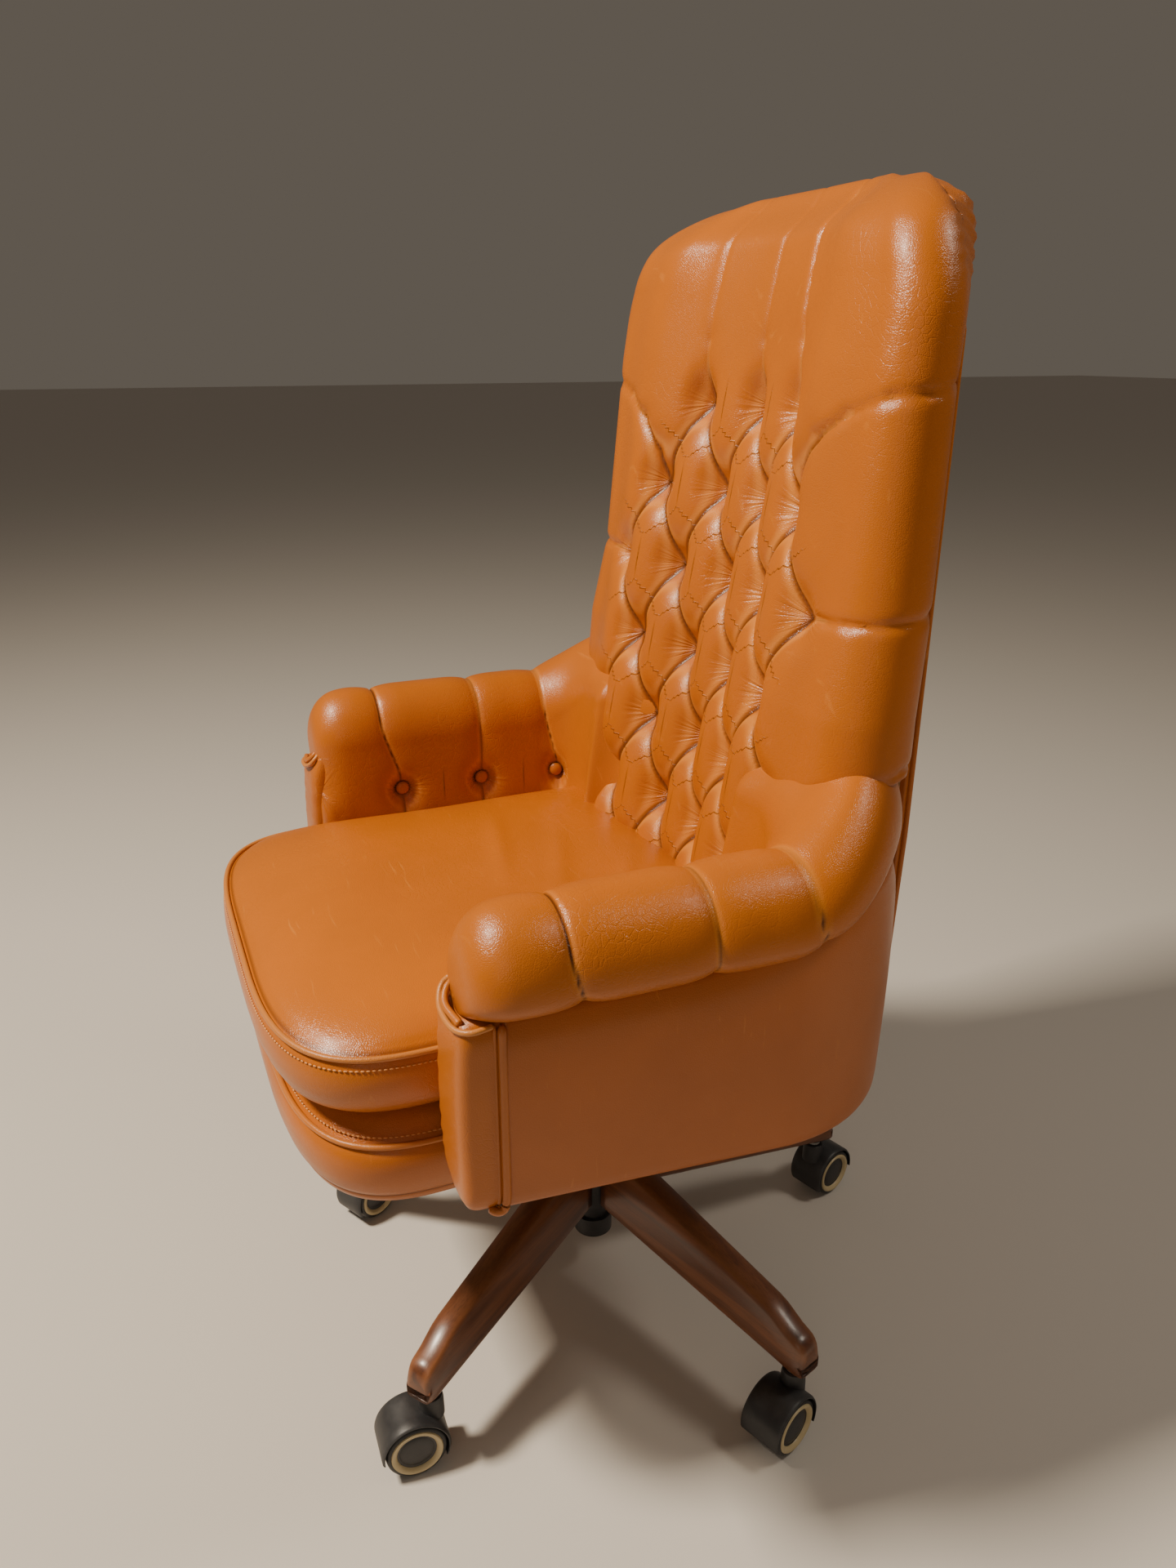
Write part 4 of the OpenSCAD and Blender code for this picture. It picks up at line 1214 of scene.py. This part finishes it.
def hood(k):
    """The caster's hood: half a round shell over both wheels, a web between them and the stem's boss."""
    first = box_middle(f"wheel_{k}_a")
    second = box_middle(f"wheel_{k}_b")
    centre = 0.5 * (first + second)
    axis = (first - second) / np.linalg.norm(first - second)
    stem = box_middle(f"caster_stem_{k}")
    ahead = centre - stem
    ahead[2] = 0
    ahead /= np.linalg.norm(ahead)
    up = np.array([0, 0, 1.0])
    half = 0.0222

    def spoke(a):
        return ahead * math.cos(a) + up * math.sin(a)

    rows = []
    for s in [-1.0, -0.97, -0.88, -0.5, 0, 0.5, 0.88, 0.97, 1.0]:
        soft = 0.0016 * max(0.0, (abs(s) - 0.86) / 0.14) ** 2
        outer = [spoke(a) * (0.0334 - soft) for a in np.radians(np.linspace(-8, 205, 34))]
        inner = [spoke(a) * 0.0309 for a in np.radians(np.linspace(205, -8, 34))]
        rows.append([centre + axis * s * half + p for p in outer + inner])
    piece = new_piece(f"hood_{k}", rows, grid_faces(len(rows), 68, True), MATERIALS["nylon"])
    close_and_face_out(piece)
    piece.data.set_sharp_from_angle(angle=math.radians(40))
    finish(piece, f"caster_{k}", [f"caster_hood_{k}"])
    foot = np.array([stem[0], stem[1], 0.0])
    boss = [(0.052, 0.007), (0.052, 0.0125), (0.071, 0.0120), (0.0755, 0.0110), (0.0768, 0.0090),
            (0.0768, 0.0056)]
    turned(f"hood_boss_{k}", boss, foot, up, MATERIALS["nylon"], f"caster_{k}", (), 32)
    round_web = [spoke(a) * 0.0240 for a in np.linspace(0, 2 * math.pi, 40, endpoint=False)]
    web = [[centre + axis * s + p for p in round_web] for s in (-0.0036, 0.0036)]
    plate = new_piece(f"hood_web_{k}", web, grid_faces(2, 40, True), MATERIALS["nylon"])
    close_and_face_out(plate)
    plate.data.set_sharp_from_angle(angle=math.radians(40))
    finish(plate, f"caster_{k}")


# ---- build ----

def dress_cad_nodes():
    """Gives every CAD node that stays its own finish."""
    finishes = {
        "black_steel": ["base_hub", "column_tube", "tilt_housing", "tilt_plate", "gas_cylinder"],
        "nylon": ["column_cap", "tension_knob", "lift_lever"],
        "ply": ["seat_frame", "back_frame"],
        "piping": ["welts"],
        "panel": ["outside_back", "arm_front_left", "arm_front_right", "outside_arm_left", "outside_arm_right"],
        "leather": ["arm_buttons"],
        "wood": [f"leg_{k}" for k in LEGS]}
    finish_of = {name: kind for kind, names in finishes.items() for name in names}
    for k in LEGS:
        finish_of[f"caster_hood_{k}"] = "nylon"
        finish_of[f"wheel_{k}_a"] = finish_of[f"wheel_{k}_b"] = "tread"
    for name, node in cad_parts.items():
        node.data.materials.clear()
        node.data.materials.append(MATERIALS[finish_of.get(name, "bright_steel")])


def studio():
    """A plain pale floor, dim soft light all round and three soft lamps."""
    floor_mesh = bpy.data.meshes.new("floor")
    floor_mesh.from_pydata([(-30, -30, 0), (30, -30, 0), (30, 30, 0), (-30, 30, 0)], [], [(0, 1, 2, 3)])
    floor = bpy.data.objects.new("floor", floor_mesh)
    bpy.context.scene.collection.objects.link(floor)
    material, sheet, shader = principled("pale floor")
    shader.inputs["Base Color"].default_value = (0.62, 0.58, 0.53, 1)
    shader.inputs["Roughness"].default_value = 0.8
    floor_mesh.materials.append(material)
    world = bpy.data.worlds.new("studio")
    world.use_nodes = True
    world.node_tree.nodes["Background"].inputs["Color"].default_value = (0.80, 0.68, 0.55, 1)
    world.node_tree.nodes["Background"].inputs["Strength"].default_value = 0.15
    bpy.context.scene.world = world
    lamps = [("key", (-0.2, -1.9, 2.9), (0.0, 0.0, 0.7), 160, 0.45, (1.0, 0.87, 0.70)),
             ("fill", (2.3, -1.2, 1.6), (0.0, 0.0, 0.6), 5, 1.2, (1.0, 0.88, 0.74)),
             ("rear", (0.9, 1.5, 2.5), (0.0, 0.1, 0.9), 17, 0.5, (1.0, 0.90, 0.76))]
    for name, place, aim, power, size, colour in lamps:
        data = bpy.data.lights.new(name, "AREA")
        data.energy = power
        data.size = size
        data.color = colour
        lamp = bpy.data.objects.new(name, data)
        lamp.location = place
        lamp.rotation_euler = (Vector(aim) - Vector(place)).to_track_quat("-Z", "Y").to_euler()
        bpy.context.scene.collection.objects.link(lamp)


def camera():
    """Stands at the chair's front right, looking down a little."""
    data = bpy.data.cameras.new("camera")
    data.sensor_width = 36
    data.lens = 26.59
    view = bpy.data.objects.new("camera", data)
    view.location = (0.997, -0.422, 1.013)
    view.rotation_euler = (math.radians(90 - 20.87), 0, math.radians(67.37))
    bpy.context.scene.collection.objects.link(view)
    bpy.context.scene.camera = view


camera()
studio()
dress_cad_nodes()
back_padding()
for side in SIDES.values():
    arm_padding(side)
seat_cushion()
front_rail()
thread_tree = stitch_maker()
seat_welts(thread_tree)
for side in SIDES.values():
    outside_panel(side)
    arm_front(side)
arm_buttons()
rear_panel()
for number in LEGS:
    leg(number)
    wheel(number, "a")
    wheel(number, "b")
    hood(number)
